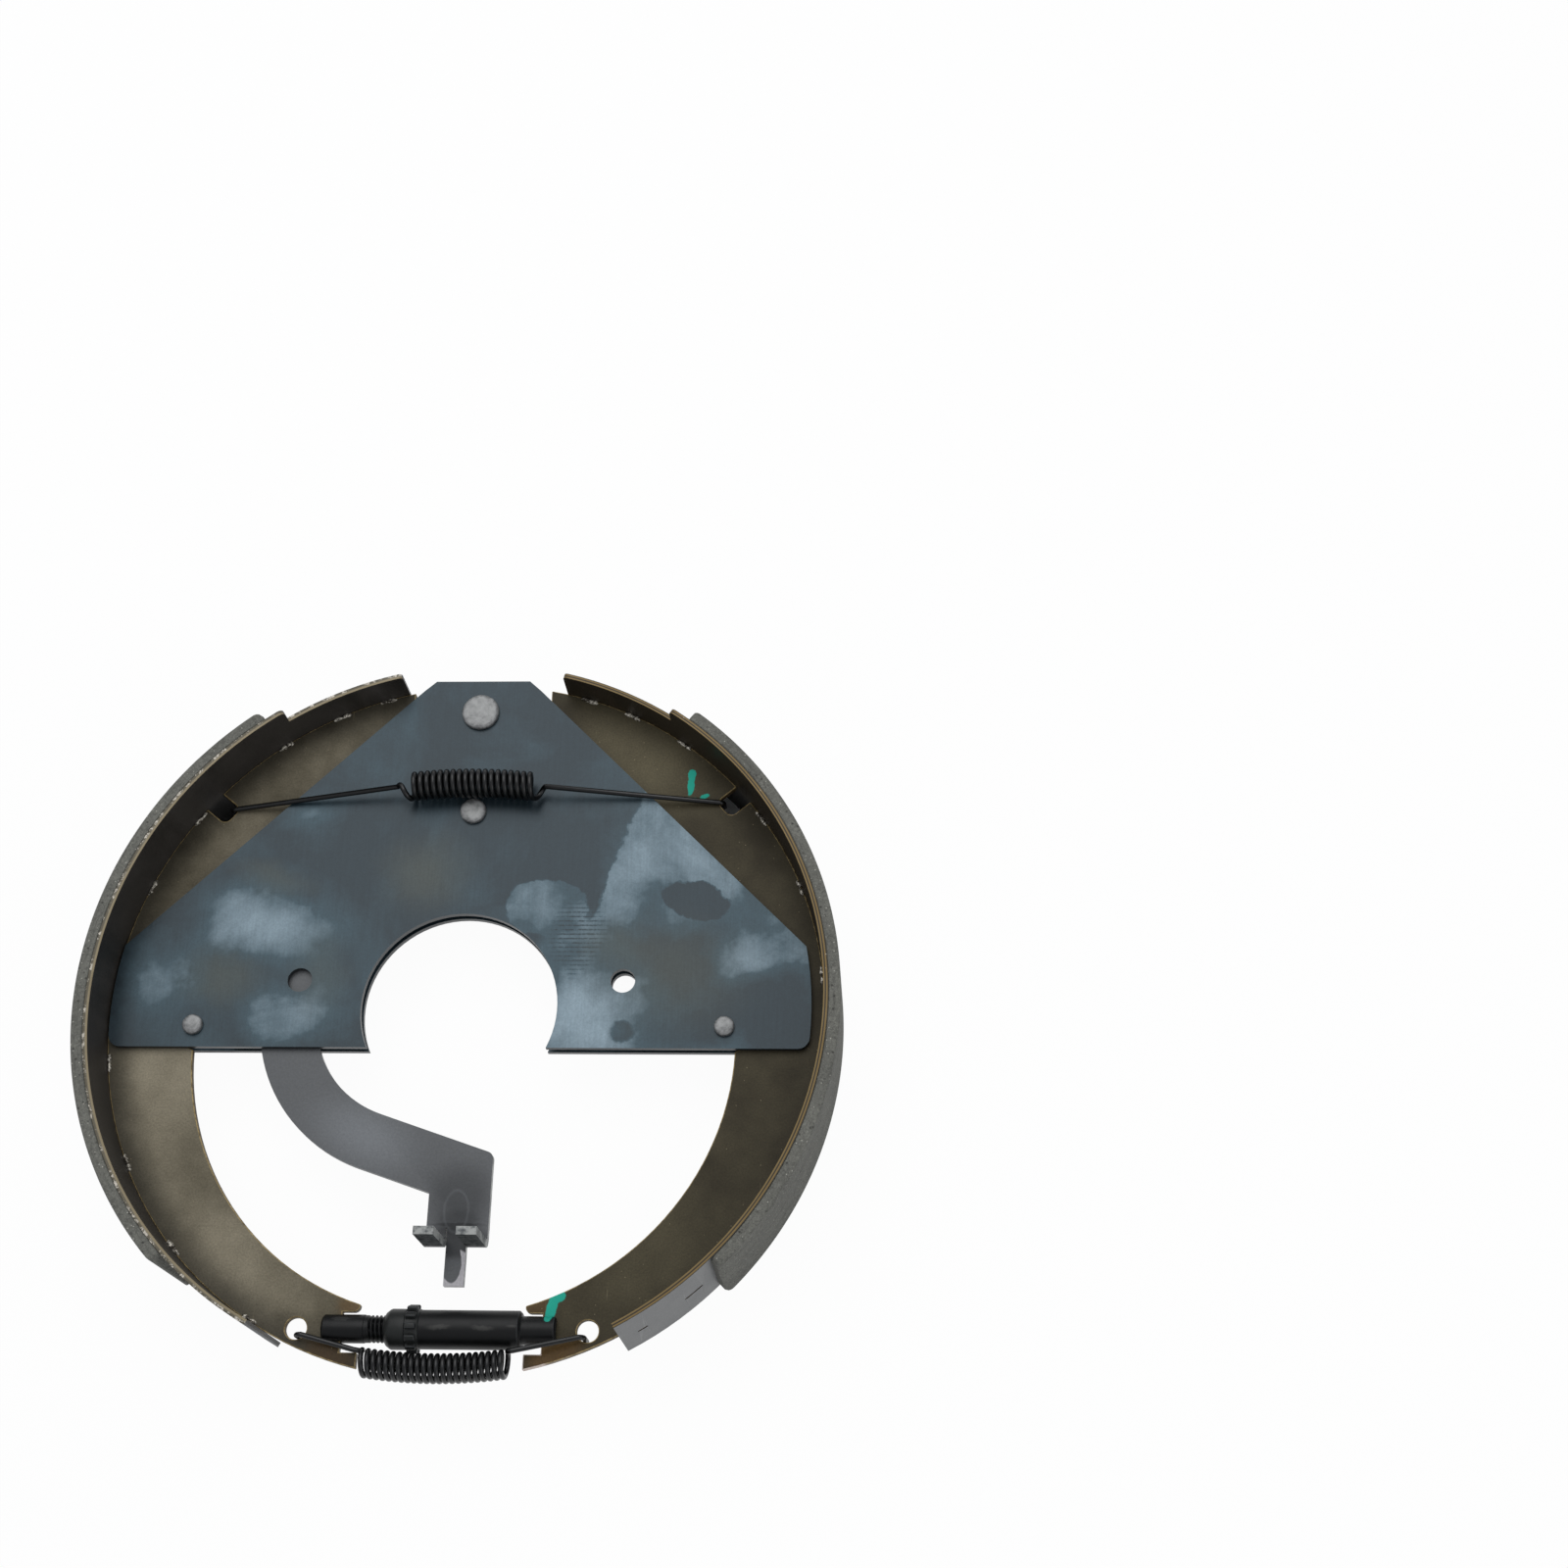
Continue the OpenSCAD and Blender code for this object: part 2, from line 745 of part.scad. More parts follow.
// The adjuster spring's path, from the hook in the left web to the hook in the right web.
function adjuster_path() =
    let (
        turns = 23,
        steps = 14,
        wr = adjuster_wire / 2,
        r = adjuster_od / 2 - wr,
        y0 = -adjuster_drop - adjuster_sag,
        z0 = adjuster_lift,
        x0 = -adjuster_len / 2 + adjuster_shift,
        hole_y = -hook_hole_y - leg_sag,
        left_x = shoe_x - hook_hole_x + leg_inset,
        right_x = shoe_x + hook_hole_x - leg_inset,
        top_z = web_top + wr + leg_lift,
        low_z = web_low - leg_tail,
        fold = leg_fold,
        coil = [for (i = [0 : turns * steps])
            let (u = i / (turns * steps))
                coil_point(u, 360 * i / steps, x0, adjuster_len, y0, z0, r, -adjuster_bow)],
        left_leg = concat(
            [[left_x, hole_y, low_z], [left_x, hole_y, top_z - fold]],
            [for (a = [30 : 30 : 90])
                [left_x + fold * (1 - cos(a)), hole_y, top_z - fold + fold * sin(a)]],
            [[x0 - leg_reach, y0 + r + 0.4, z0 - fold]],
            [for (a = [30 : 30 : 60])
                [x0 - fold + fold * sin(a), y0 + r, z0 - fold * cos(a)]]
        ),
        right_leg = concat(
            [for (a = [30 : 30 : 90])
                [x0 + adjuster_len + fold * (1 - cos(a)), y0 + r, z0 + fold * sin(a)]],
            [for (a = [90 : -30 : 0])
                [right_x - fold * (1 - cos(a)), hole_y, top_z - fold + fold * sin(a)]],
            [[right_x, hole_y, low_z]]
        )
    )
    concat(left_leg, coil, right_leg);

module front_plate() {
    color("slategray")
        lever_plate(gap_top);
}

module rear_plate() {
    color("dimgray")
        lever_plate(rear_face);
}

module anchor_rivet() {
    color("silver")
        translate([0, anchor_y, 0])
            rivet(anchor_shank_r, anchor_head_r);
}

module anchor_bush() {
    color("gray")
        translate([0, anchor_y, 0])
            sleeve(anchor_bush_r, anchor_shank_r);
}

module pivot_rivet() {
    color("silver")
        translate([0, pivot_y, 0])
            rivet(shank_r, pivot_head_r);
}

module pivot_bush() {
    color("gray")
        translate([0, pivot_y, 0])
            sleeve(pivot_bush_r, bush_bore_r);
}

module left_rivet() {
    color("silver")
        translate([-spacer_x, -spacer_drop, 0])
            rivet(shank_r, spacer_head_r);
}

module right_rivet() {
    color("silver")
        translate([spacer_x, -spacer_drop, 0])
            rivet(shank_r, spacer_head_r);
}

module left_spacer() {
    color("gray")
        translate([-spacer_x, -spacer_drop, 0])
            sleeve(5, bush_bore_r);
}

module right_spacer() {
    color("gray")
        translate([spacer_x, -spacer_drop, 0])
            sleeve(5, bush_bore_r);
}

module actuating_lever() {
    left_x = end_x - end_w / 2;
    color("dimgray") {
        translate([0, 0, web_low])
            linear_extrude(web_t)
                lever_shape();
        lever_wing(left_x);
        lever_wing(end_x + tongue_w / 2 + 0.4);
        translate([end_x - tongue_w / 2, -tongue_low, web_low])
            cube([tongue_w, tongue_low - end_low + 9, web_t]);
    }
}

module left_web() {
    color("tan")
        shoe_web("left");
}

module right_web() {
    color("tan")
        shoe_web("right");
}

module left_table() {
    color("darkslategray")
        shoe_table("left");
}

module right_table() {
    color("darkslategray")
        shoe_table("right");
}

module left_lining() {
    color("darkgray")
        shoe_lining("left");
}

module right_lining() {
    color("darkgray")
        shoe_lining("right");
}

module adjusting_screw() {
    color("black")
        difference() {
            on_adjuster()
                rotate_extrude()
                    screw_profile();
            web_slot(screw_start - 1, shoe_x - fork_x + 0.1);
        }
}

module star_wheel() {
    color("black")
        difference() {
            on_adjuster()
                star_body();
            on_adjuster()
                translate([0, 0, hub_x - 1])
                    cylinder(r = thread_r + 0.08, h = hub_len + 2);
        }
}

module adjuster_socket() {
    bore_end = shoulder_x - 7;
    color("black")
        difference() {
            on_adjuster()
                rotate_extrude()
                    polygon([
                        [0, socket_x], [tube_r, socket_x], [tube_r, shoulder_x - 1],
                        [tube_r - 1, shoulder_x], [slot_end_r, shoulder_x],
                        [slot_end_r, socket_end - 0.8], [slot_end_r - 0.8, socket_end], [0, socket_end]
                    ]);
            on_adjuster()
                translate([0, 0, socket_x - 1])
                    cylinder(r = thread_r + 0.4, h = bore_end - socket_x + 1);
            web_slot(shoe_x + fork_x - 0.1, socket_end + 1);
        }
}

module retractor_spring() {
    color("black")
        wire(retractor_path(), retractor_wire / 2, [0, 1, 0]);
}

module adjuster_spring() {
    color("black")
        wire(adjuster_path(), adjuster_wire / 2, [1, 0, 0]);
}

front_plate();
rear_plate();
anchor_rivet();
anchor_bush();
pivot_rivet();
pivot_bush();
left_rivet();
right_rivet();
left_spacer();
right_spacer();
actuating_lever();
left_web();
left_table();
left_lining();
right_web();
right_table();
right_lining();
adjusting_screw();
star_wheel();
adjuster_socket();
retractor_spring();
adjuster_spring();
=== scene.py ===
"""The looks of a trailer brake's shoe and lever assembly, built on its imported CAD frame."""
import math

import bmesh
import bpy
from mathutils import Matrix, Vector, noise


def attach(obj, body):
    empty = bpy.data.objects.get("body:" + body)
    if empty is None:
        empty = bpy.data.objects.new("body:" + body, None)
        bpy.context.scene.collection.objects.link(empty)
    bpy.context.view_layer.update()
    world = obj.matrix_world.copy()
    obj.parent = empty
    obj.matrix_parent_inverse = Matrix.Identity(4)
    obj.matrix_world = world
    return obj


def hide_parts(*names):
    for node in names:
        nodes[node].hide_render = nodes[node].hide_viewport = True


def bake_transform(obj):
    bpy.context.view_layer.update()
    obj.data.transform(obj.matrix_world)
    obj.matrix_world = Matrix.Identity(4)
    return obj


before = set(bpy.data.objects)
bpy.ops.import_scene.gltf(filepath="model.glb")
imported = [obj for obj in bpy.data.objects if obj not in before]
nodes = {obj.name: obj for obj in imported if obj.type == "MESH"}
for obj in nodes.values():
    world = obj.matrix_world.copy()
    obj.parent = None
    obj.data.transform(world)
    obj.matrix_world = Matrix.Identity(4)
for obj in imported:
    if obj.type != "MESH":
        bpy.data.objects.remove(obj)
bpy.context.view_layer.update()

MM = 0.001

# Sizes of the CAD model, in millimetres.
SHOE_X, SHOE_DROP = 2.2, 0.8
LINING_R, TABLE_RO, TABLE_RI = 151.8, 147.0, 145.0
BACK_Z, SHOE_W = -23.7, 50.8
LINING_TOP_A, LINING_LOW_A = 36.6, 135.0
WEB_LOW, WEB_TOP = -1.6, 1.6
FRONT_FACE = 4.4
HEAD_H = 2.6
ANCHOR_Y, PIVOT_Y = 130.0, 84.8
SPACER_X, SPACER_DROP = 107.2, 7.9
ADJUSTER_DROP = 127.2
SLOT_END_R, HUB_R, STAR_R = 5.4, 7.7, 9.3
STAR_TEETH, THREAD_PITCH = 12, 1.6
SCREW_START = -43.6
PLAIN_END = SCREW_START + 16.0
HUB_X, HUB_LEN = -19.2, 13.3
BEAD_SIZE, BEAD_LUMPS = (2.1, 0.85, 0.85), 1.3
WELD_ANGLES = {"left": (17.5, 25.5, 36, 54.5, 68.5, 99, 116, 132, 149),
               "right": (17.5, 25.5, 36, 54.5, 68.5, 84, 99, 116, 132, 149)}
SLOT_ANGLES = {"left": 50.9, "right": 49.3}
SLOT_DEPTH = 10.6
HOOK_HOLE_X, HOOK_HOLE_RIM = 56.1, 6.5
RETRACTOR_WIRE_R, ADJUSTER_WIRE_R = 1.1, 1.05
RETRACTOR_TURNS, ADJUSTER_TURNS = 19, 23
COIL_STEPS, WIRE_SIDES = 40, 16

# The shoes' marking paint, and the tables' finishes, which differ from side to side.
PAINT = "#1fa58f"
INNER_TONES = {"left": ("#302e2c", "#4a4641"), "right": ("#231e16", "#393023")}
EDGE_BANDS = {
    "left": ((0.0, "#7d7158"), (0.3, "#8c8064"), (0.55, "#5d574a"), (0.86, "#57513f"),
             (0.97, "#1d1b17")),
    "right": ((0.0, "#736038"), (0.2, "#786336"), (0.34, "#241c10"), (0.5, "#2a2112"),
              (0.62, "#7c6534"), (0.82, "#6b572e"), (0.95, "#15120d"))}
CHIPS_FROM = {"left": 0.53, "right": 0.66}


def linear(code):
    """A hex colour as linear values for a socket."""
    parts = [int(code[i:i + 2], 16) / 255 for i in (1, 3, 5)]
    return [c / 12.92 if c <= 0.04045 else ((c + 0.055) / 1.055) ** 2.4 for c in parts] + [1.0]


def per(size):
    """The texture scale whose features are about this many millimetres wide."""
    return 1 / (size * MM)


def add(tree, kind, inputs=None, **settings):
    """Adds a node: its settings are properties, its inputs are values or links."""
    made = tree.nodes.new(kind)
    for name, value in settings.items():
        setattr(made, name, value)
    for socket, value in (inputs or {}).items():
        if isinstance(value, bpy.types.NodeSocket):
            tree.links.new(value, made.inputs[socket])
        else:
            made.inputs[socket].default_value = value
    return made


# Finishes

def new_finish(name):
    """An empty material: with its tree, shader, the piece's coordinates and its edge marks."""
    finish = bpy.data.materials.new(name)
    finish.use_nodes = True
    tree = finish.node_tree
    tree.nodes.clear()
    shader = add(tree, "ShaderNodeBsdfPrincipled")
    add(tree, "ShaderNodeOutputMaterial", {"Surface": shader.outputs["BSDF"]})
    place = add(tree, "ShaderNodeTexCoord").outputs["Object"]
    edge = add(tree, "ShaderNodeAttribute", attribute_name="edge").outputs["Fac"]
    return finish, tree, shader, place, edge


def bent_place(tree, place, size, amount):
    """Coordinates pushed about by a noise, so that a placed spot gets a natural outline."""
    push = add(tree, "ShaderNodeTexNoise",
               {"Vector": place, "Scale": per(size), "Detail": 5.0, "Roughness": 0.62})
    centred = add(tree, "ShaderNodeVectorMath",
                  {0: push.outputs["Color"], 1: (0.5, 0.5, 0.5)}, operation="SUBTRACT")
    scaled = add(tree, "ShaderNodeVectorMath",
                 {0: centred.outputs[0], "Scale": amount * MM}, operation="SCALE")
    return add(tree, "ShaderNodeVectorMath",
               {0: place, 1: scaled.outputs[0]}, operation="ADD").outputs[0]


def spots(tree, place, listed):
    """The sum of placed spots: centre x and y, radii, turn, softness of the rim, weight."""
    total = 0.0
    for x, y, wide, high, turn, soft, weight in listed:
        local = add(tree, "ShaderNodeMapping",
                    {"Vector": place, "Location": (x * MM, y * MM, 0),
                     "Rotation": (0, 0, math.radians(turn)), "Scale": (wide * MM, high * MM, 1)},
                    vector_type="TEXTURE")
        near = add(tree, "ShaderNodeTexGradient", {"Vector": local.outputs[0]},
                   gradient_type="SPHERICAL")
        inside = add(tree, "ShaderNodeMapRange",
                     {"Value": near.outputs["Fac"], "From Max": soft, "To Max": weight},
                     interpolation_type="SMOOTHSTEP")
        total = add(tree, "ShaderNodeMath", {0: inside.outputs[0], 1: total},
                    operation="ADD").outputs[0]
    return total


def edge_masks(tree, place, edge):
    """Two masks from the edge marks: rounded corners, rubbed unevenly, and cut faces."""
    rub = add(tree, "ShaderNodeTexNoise",
              {"Vector": place, "Scale": per(2.5), "Detail": 4.0, "Roughness": 0.7})
    uneven = add(tree, "ShaderNodeMapRange",
                 {"Value": rub.outputs["Fac"], "From Min": 0.36, "From Max": 0.6,
                  "To Min": 0.25})
    corner = add(tree, "ShaderNodeMath", {0: edge, 1: 0.8}, operation="GREATER_THAN")
    rubbed = add(tree, "ShaderNodeMath", {0: corner.outputs[0], 1: uneven.outputs[0]},
                 operation="MULTIPLY")
    wall = add(tree, "ShaderNodeMath", {0: edge, 1: 0.3}, operation="GREATER_THAN")
    return rubbed.outputs[0], wall.outputs[0]


def relief(tree, shader, layers):
    """Chains bumps: each layer has a height, a depth in millimetres and a strength."""
    before = None
    for height, depth, strength in layers:
        inputs = {"Height": height, "Distance": depth * MM, "Strength": strength}
        if before is not None:
            inputs["Normal"] = before
        before = add(tree, "ShaderNodeBump", inputs).outputs[0]
    tree.links.new(before, shader.inputs["Normal"])


def side_of_line(tree, place, x, y, turn, soft):
    """1 past a line through a point, 0 before it; the line's normal points along turn."""
    local = add(tree, "ShaderNodeMapping",
                {"Vector": place, "Location": (x * MM, y * MM, 0),
                 "Rotation": (0, 0, math.radians(turn))}, vector_type="TEXTURE")
    split = add(tree, "ShaderNodeSeparateXYZ", {0: local.outputs[0]})
    return add(tree, "ShaderNodeMapRange",
               {"Value": split.outputs[0], "From Min": -soft * MM, "From Max": soft * MM},
               interpolation_type="SMOOTHSTEP").outputs[0]


def about_shoe(tree, place):
    """A place's distance from the shoes' centre line, and its coordinates from that centre."""
    from_centre = add(tree, "ShaderNodeMapping",
                      {"Vector": place, "Location": (-SHOE_X * MM, SHOE_DROP * MM, 0)})
    split = add(tree, "ShaderNodeSeparateXYZ", {0: from_centre.outputs[0]})
    flat = add(tree, "ShaderNodeVectorMath",
               {0: from_centre.outputs[0], 1: (1, 1, 0)}, operation="MULTIPLY")
    radius = add(tree, "ShaderNodeVectorMath", {0: flat.outputs[0]}, operation="LENGTH")
    return radius.outputs["Value"], split.outputs


def paint_dabs(tree, place, under, listed):
    """Brushed dabs of marking paint over a colour: the new colour, and the paint's mask."""
    brushed = bent_place(tree, place, 2.5, 1.6)
    dab = add(tree, "ShaderNodeMath", {0: spots(tree, brushed, listed), 1: 1.0},
              operation="MULTIPLY", use_clamp=True)
    painted = add(tree, "ShaderNodeMix",
                  {0: dab.outputs[0], 6: under, 7: linear(PAINT)}, data_type="RGBA")
    return painted.outputs[2], dab.outputs[0]


def mill_scale(name, pale_spots, brown_spots, sharp_spots, bare, bare_lobe, dashed):
    """Rolled steel under its scale: a ragged bare patch, pale clouds, stains, rolling marks."""
    finish, tree, shader, place, edge = new_finish(name)
    soft_place = bent_place(tree, place, 16, 15)
    sharp_place = bent_place(tree, place, 11, 9)
    clouds = add(tree, "ShaderNodeTexNoise",
                 {"Vector": place, "Scale": per(42), "Detail": 7.0, "Roughness": 0.56,
                  "Distortion": 0.5})
    drift = add(tree, "ShaderNodeMapRange",
                {"Value": clouds.outputs["Fac"], "From Min": 0.38, "From Max": 0.72,
                 "To Min": -0.12, "To Max": 0.34})
    placed = spots(tree, soft_place, pale_spots)
    stained = spots(tree, sharp_place, sharp_spots)
    patch = add(tree, "ShaderNodeMath",
                {0: side_of_line(tree, sharp_place, *bare),
                 1: spots(tree, sharp_place, bare_lobe)},
                operation="MAXIMUM", use_clamp=True)
    smears = add(tree, "ShaderNodeTexNoise",
                 {"Vector": soft_place, "Scale": per(26), "Detail": 5.0, "Roughness": 0.52,
                  "Distortion": 0.4})
    smeared = add(tree, "ShaderNodeMapRange",
                  {"Value": smears.outputs["Fac"], "From Min": 0.32, "From Max": 0.68,
                   "To Min": 0.3, "To Max": 0.62})
    bared = add(tree, "ShaderNodeMath", {0: patch.outputs[0], 1: smeared.outputs[0]},
                operation="MULTIPLY")
    rows = add(tree, "ShaderNodeTexWave", {"Vector": place, "Scale": per(6.0)},
               wave_type="BANDS", bands_direction="Y")
    breaks = add(tree, "ShaderNodeTexNoise",
                 {"Vector": place, "Scale": per(1.4), "Detail": 3.0, "Roughness": 0.7})
    dash = add(tree, "ShaderNodeMath", {0: rows.outputs["Fac"], 1: breaks.outputs["Fac"]},
               operation="MULTIPLY")
    dashes = add(tree, "ShaderNodeMapRange",
                 {"Value": dash.outputs[0], "From Min": 0.34, "From Max": 0.5, "To Max": -0.5})
    dashed_here = add(tree, "ShaderNodeMath",
                      {0: dashes.outputs[0], 1: spots(tree, soft_place, dashed)},
                      operation="MULTIPLY")
    marks = add(tree, "ShaderNodeMath", {0: stained, 1: dashed_here.outputs[0]}, operation="ADD")
    on_patch = add(tree, "ShaderNodeMath", {0: bared.outputs[0], 1: marks.outputs[0]},
                   operation="ADD")
    both = add(tree, "ShaderNodeMath", {0: placed, 1: on_patch.outputs[0]}, operation="ADD")
    pale = add(tree, "ShaderNodeMath", {0: both.outputs[0], 1: drift.outputs[0]},
               operation="ADD", use_clamp=True).outputs[0]
    # rolling lines: long along Y, a fraction of a millimetre apart
    rolled = add(tree, "ShaderNodeMapping", {"Vector": place, "Scale": (1, 0.045, 1)})
    lines = add(tree, "ShaderNodeTexNoise",
                {"Vector": rolled.outputs[0], "Scale": per(0.9), "Detail": 3.0})
    grit = add(tree, "ShaderNodeTexNoise",
               {"Vector": place, "Scale": per(0.8), "Detail": 4.0, "Roughness": 0.7})
    dark_to_mid = add(tree, "ShaderNodeMapRange", {"Value": pale, "From Max": 0.5})
    mid_to_pale = add(tree, "ShaderNodeMapRange",
                      {"Value": pale, "From Min": 0.42, "From Max": 1.0})
    dark = add(tree, "ShaderNodeMix",
               {0: dark_to_mid.outputs[0], 6: linear("#1f2d34"), 7: linear("#3b4f58")},
               data_type="RGBA")
    scale = add(tree, "ShaderNodeMix",
                {0: mid_to_pale.outputs[0], 6: dark.outputs[2], 7: linear("#889aa4")},
                data_type="RGBA")
    brown = add(tree, "ShaderNodeMix",
                {0: spots(tree, soft_place, brown_spots), 6: scale.outputs[2],
                 7: linear("#45483f")}, data_type="RGBA")
    speck = add(tree, "ShaderNodeMapRange",
                {"Value": grit.outputs["Fac"], "From Min": 0.3, "From Max": 0.7,
                 "To Min": 0.86, "To Max": 1.14})
    line = add(tree, "ShaderNodeMapRange",
               {"Value": lines.outputs["Fac"], "From Min": 0.3, "From Max": 0.7,
                "To Min": 0.93, "To Max": 1.07})
    tone = add(tree, "ShaderNodeMath", {0: speck.outputs[0], 1: line.outputs[0]},
               operation="MULTIPLY")
    toned = add(tree, "ShaderNodeVectorMath",
                {0: brown.outputs[2], "Scale": tone.outputs[0]}, operation="SCALE")
    rubbed, wall = edge_masks(tree, place, edge)
    cut = add(tree, "ShaderNodeMix", {0: wall, 6: toned.outputs[0], 7: linear("#2c3033")},
              data_type="RGBA")
    worn = add(tree, "ShaderNodeMix", {0: rubbed, 6: cut.outputs[2], 7: linear("#7d868b")},
               data_type="RGBA")
    tree.links.new(worn.outputs[2], shader.inputs["Base Color"])
    dull = add(tree, "ShaderNodeMapRange", {"Value": pale, "To Min": 0.36, "To Max": 0.56})
    tree.links.new(dull.outputs[0], shader.inputs["Roughness"])
    shader.inputs["Metallic"].default_value = 0.35
    relief(tree, shader, [(grit.outputs["Fac"], 0.05, 0.35), (lines.outputs["Fac"], 0.03, 0.2)])
    return finish


# The lever's marks as placed spots: a lighter bend, its dark foot with painted shade over the
# wings, its pale tip, its ring.
LEVER_LIGHT = [(-34, -52, 34, 18, -25, 1.0, 0.6)]
LEVER_FOOT_SHADE = [(5.5, -86, 13, 6, 0, 0.7, 0.3), (6, -76, 18, 18, 0, 0.7, 0.5),
              (5.5, -94, 18, 8, 0, 0.5, 0.85), (5.5, -87.2, 15, 1.0, 0, 0.7, 0.5)]
LEVER_TIP = [(5.5, -106, 9, 9.6, 0, 0.12, 1.0), (4.5, -102.4, 3.9, 7.8, 0, 0.12, -1.2)]
LEVER_RING = [(4.6, -82, 5.5, 9.4, 0, 0.14, 0.1), (4.6, -82, 4.5, 8.2, 0, 0.14, -0.1)]


def lever_scale():
    """The lever's plain dark steel: slow brownish drift, a coined ring, a pale tongue tip and
    painted shade on the wings.
    """
    finish, tree, shader, place, edge = new_finish("lever_scale")
    drift = add(tree, "ShaderNodeTexNoise",
                {"Vector": place, "Scale": per(30), "Detail": 5.0, "Roughness": 0.6})
    grit = add(tree, "ShaderNodeTexNoise",
               {"Vector": place, "Scale": per(0.9), "Detail": 4.0, "Roughness": 0.7})
    near = bent_place(tree, place, 4, 1.0)
    tone = add(tree, "ShaderNodeMix",
               {0: drift.outputs["Fac"], 6: linear("#46484a"), 7: linear("#5c5e60")},
               data_type="RGBA")
    lighter = add(tree, "ShaderNodeMix",
                  {0: spots(tree, near, LEVER_LIGHT), 6: tone.outputs[2], 7: linear("#74787c")},
                  data_type="RGBA")
    # a dark foot, and painted shade over the wings
    foot_shaded = add(tree, "ShaderNodeMix",
                 {0: spots(tree, near, LEVER_FOOT_SHADE), 6: lighter.outputs[2], 7: linear("#232527")},
                 data_type="RGBA")
    bare = add(tree, "ShaderNodeMix",
               {0: spots(tree, near, LEVER_TIP), 6: foot_shaded.outputs[2], 7: linear("#a9a7aa")},
               data_type="RGBA")
    ring = spots(tree, near, LEVER_RING)
    coined = add(tree, "ShaderNodeMix", {0: ring, 6: bare.outputs[2], 7: linear("#8b8f92")},
                 data_type="RGBA")
    speck = add(tree, "ShaderNodeMapRange",
                {"Value": grit.outputs["Fac"], "From Min": 0.3, "From Max": 0.7,
                 "To Min": 0.88, "To Max": 1.12})
    toned = add(tree, "ShaderNodeVectorMath",
                {0: coined.outputs[2], "Scale": speck.outputs[0]}, operation="SCALE")
    rubbed, wall = edge_masks(tree, place, edge)
    blotch = add(tree, "ShaderNodeTexNoise",
                 {"Vector": place, "Scale": per(4), "Detail": 4.0, "Roughness": 0.7})
    patchy = add(tree, "ShaderNodeMapRange",
                 {"Value": blotch.outputs["Fac"], "From Min": 0.36, "From Max": 0.56})
    sheared = add(tree, "ShaderNodeMix",
                  {0: patchy.outputs[0], 6: linear("#5a5d5f"), 7: linear("#a8aaa7")},
                  data_type="RGBA")
    # painted shade on the standing wings, mottled dark grey
    wing_shade = add(tree, "ShaderNodeMix",
                  {0: patchy.outputs[0], 6: linear("#222526"), 7: linear("#535656")},
                  data_type="RGBA")
    height = add(tree, "ShaderNodeSeparateXYZ", {0: place})
    folded_up = add(tree, "ShaderNodeMapRange",
                    {"Value": height.outputs[2], "From Min": 3 * MM, "From Max": 7 * MM})
    standing = add(tree, "ShaderNodeMix",
                   {0: folded_up.outputs[0], 6: toned.outputs[0], 7: wing_shade.outputs[2]},
                   data_type="RGBA")
    cut = add(tree, "ShaderNodeMix", {0: wall, 6: standing.outputs[2], 7: sheared.outputs[2]},
              data_type="RGBA")
    worn = add(tree, "ShaderNodeMix", {0: rubbed, 6: cut.outputs[2], 7: linear("#84878a")},
               data_type="RGBA")
    tree.links.new(worn.outputs[2], shader.inputs["Base Color"])
    dull = add(tree, "ShaderNodeMapRange",
               {"Value": drift.outputs["Fac"], "To Min": 0.36, "To Max": 0.52})
    sooty = add(tree, "ShaderNodeMix", {0: folded_up.outputs[0], 2: dull.outputs[0], 3: 0.8})
    tree.links.new(sooty.outputs[0], shader.inputs["Roughness"])
    sheen = add(tree, "ShaderNodeMapRange",
                {"Value": folded_up.outputs[0], "To Min": 0.5, "To Max": 0.05})
    tree.links.new(sheen.outputs[0], shader.inputs["Specular IOR Level"])
    bareness = add(tree, "ShaderNodeMapRange",
                   {"Value": folded_up.outputs[0], "To Min": 0.3, "To Max": 0.0})
    tree.links.new(bareness.outputs[0], shader.inputs["Metallic"])
    relief(tree, shader, [(grit.outputs["Fac"], 0.05, 0.4), (ring, 0.15, 0.6)])
    return finish


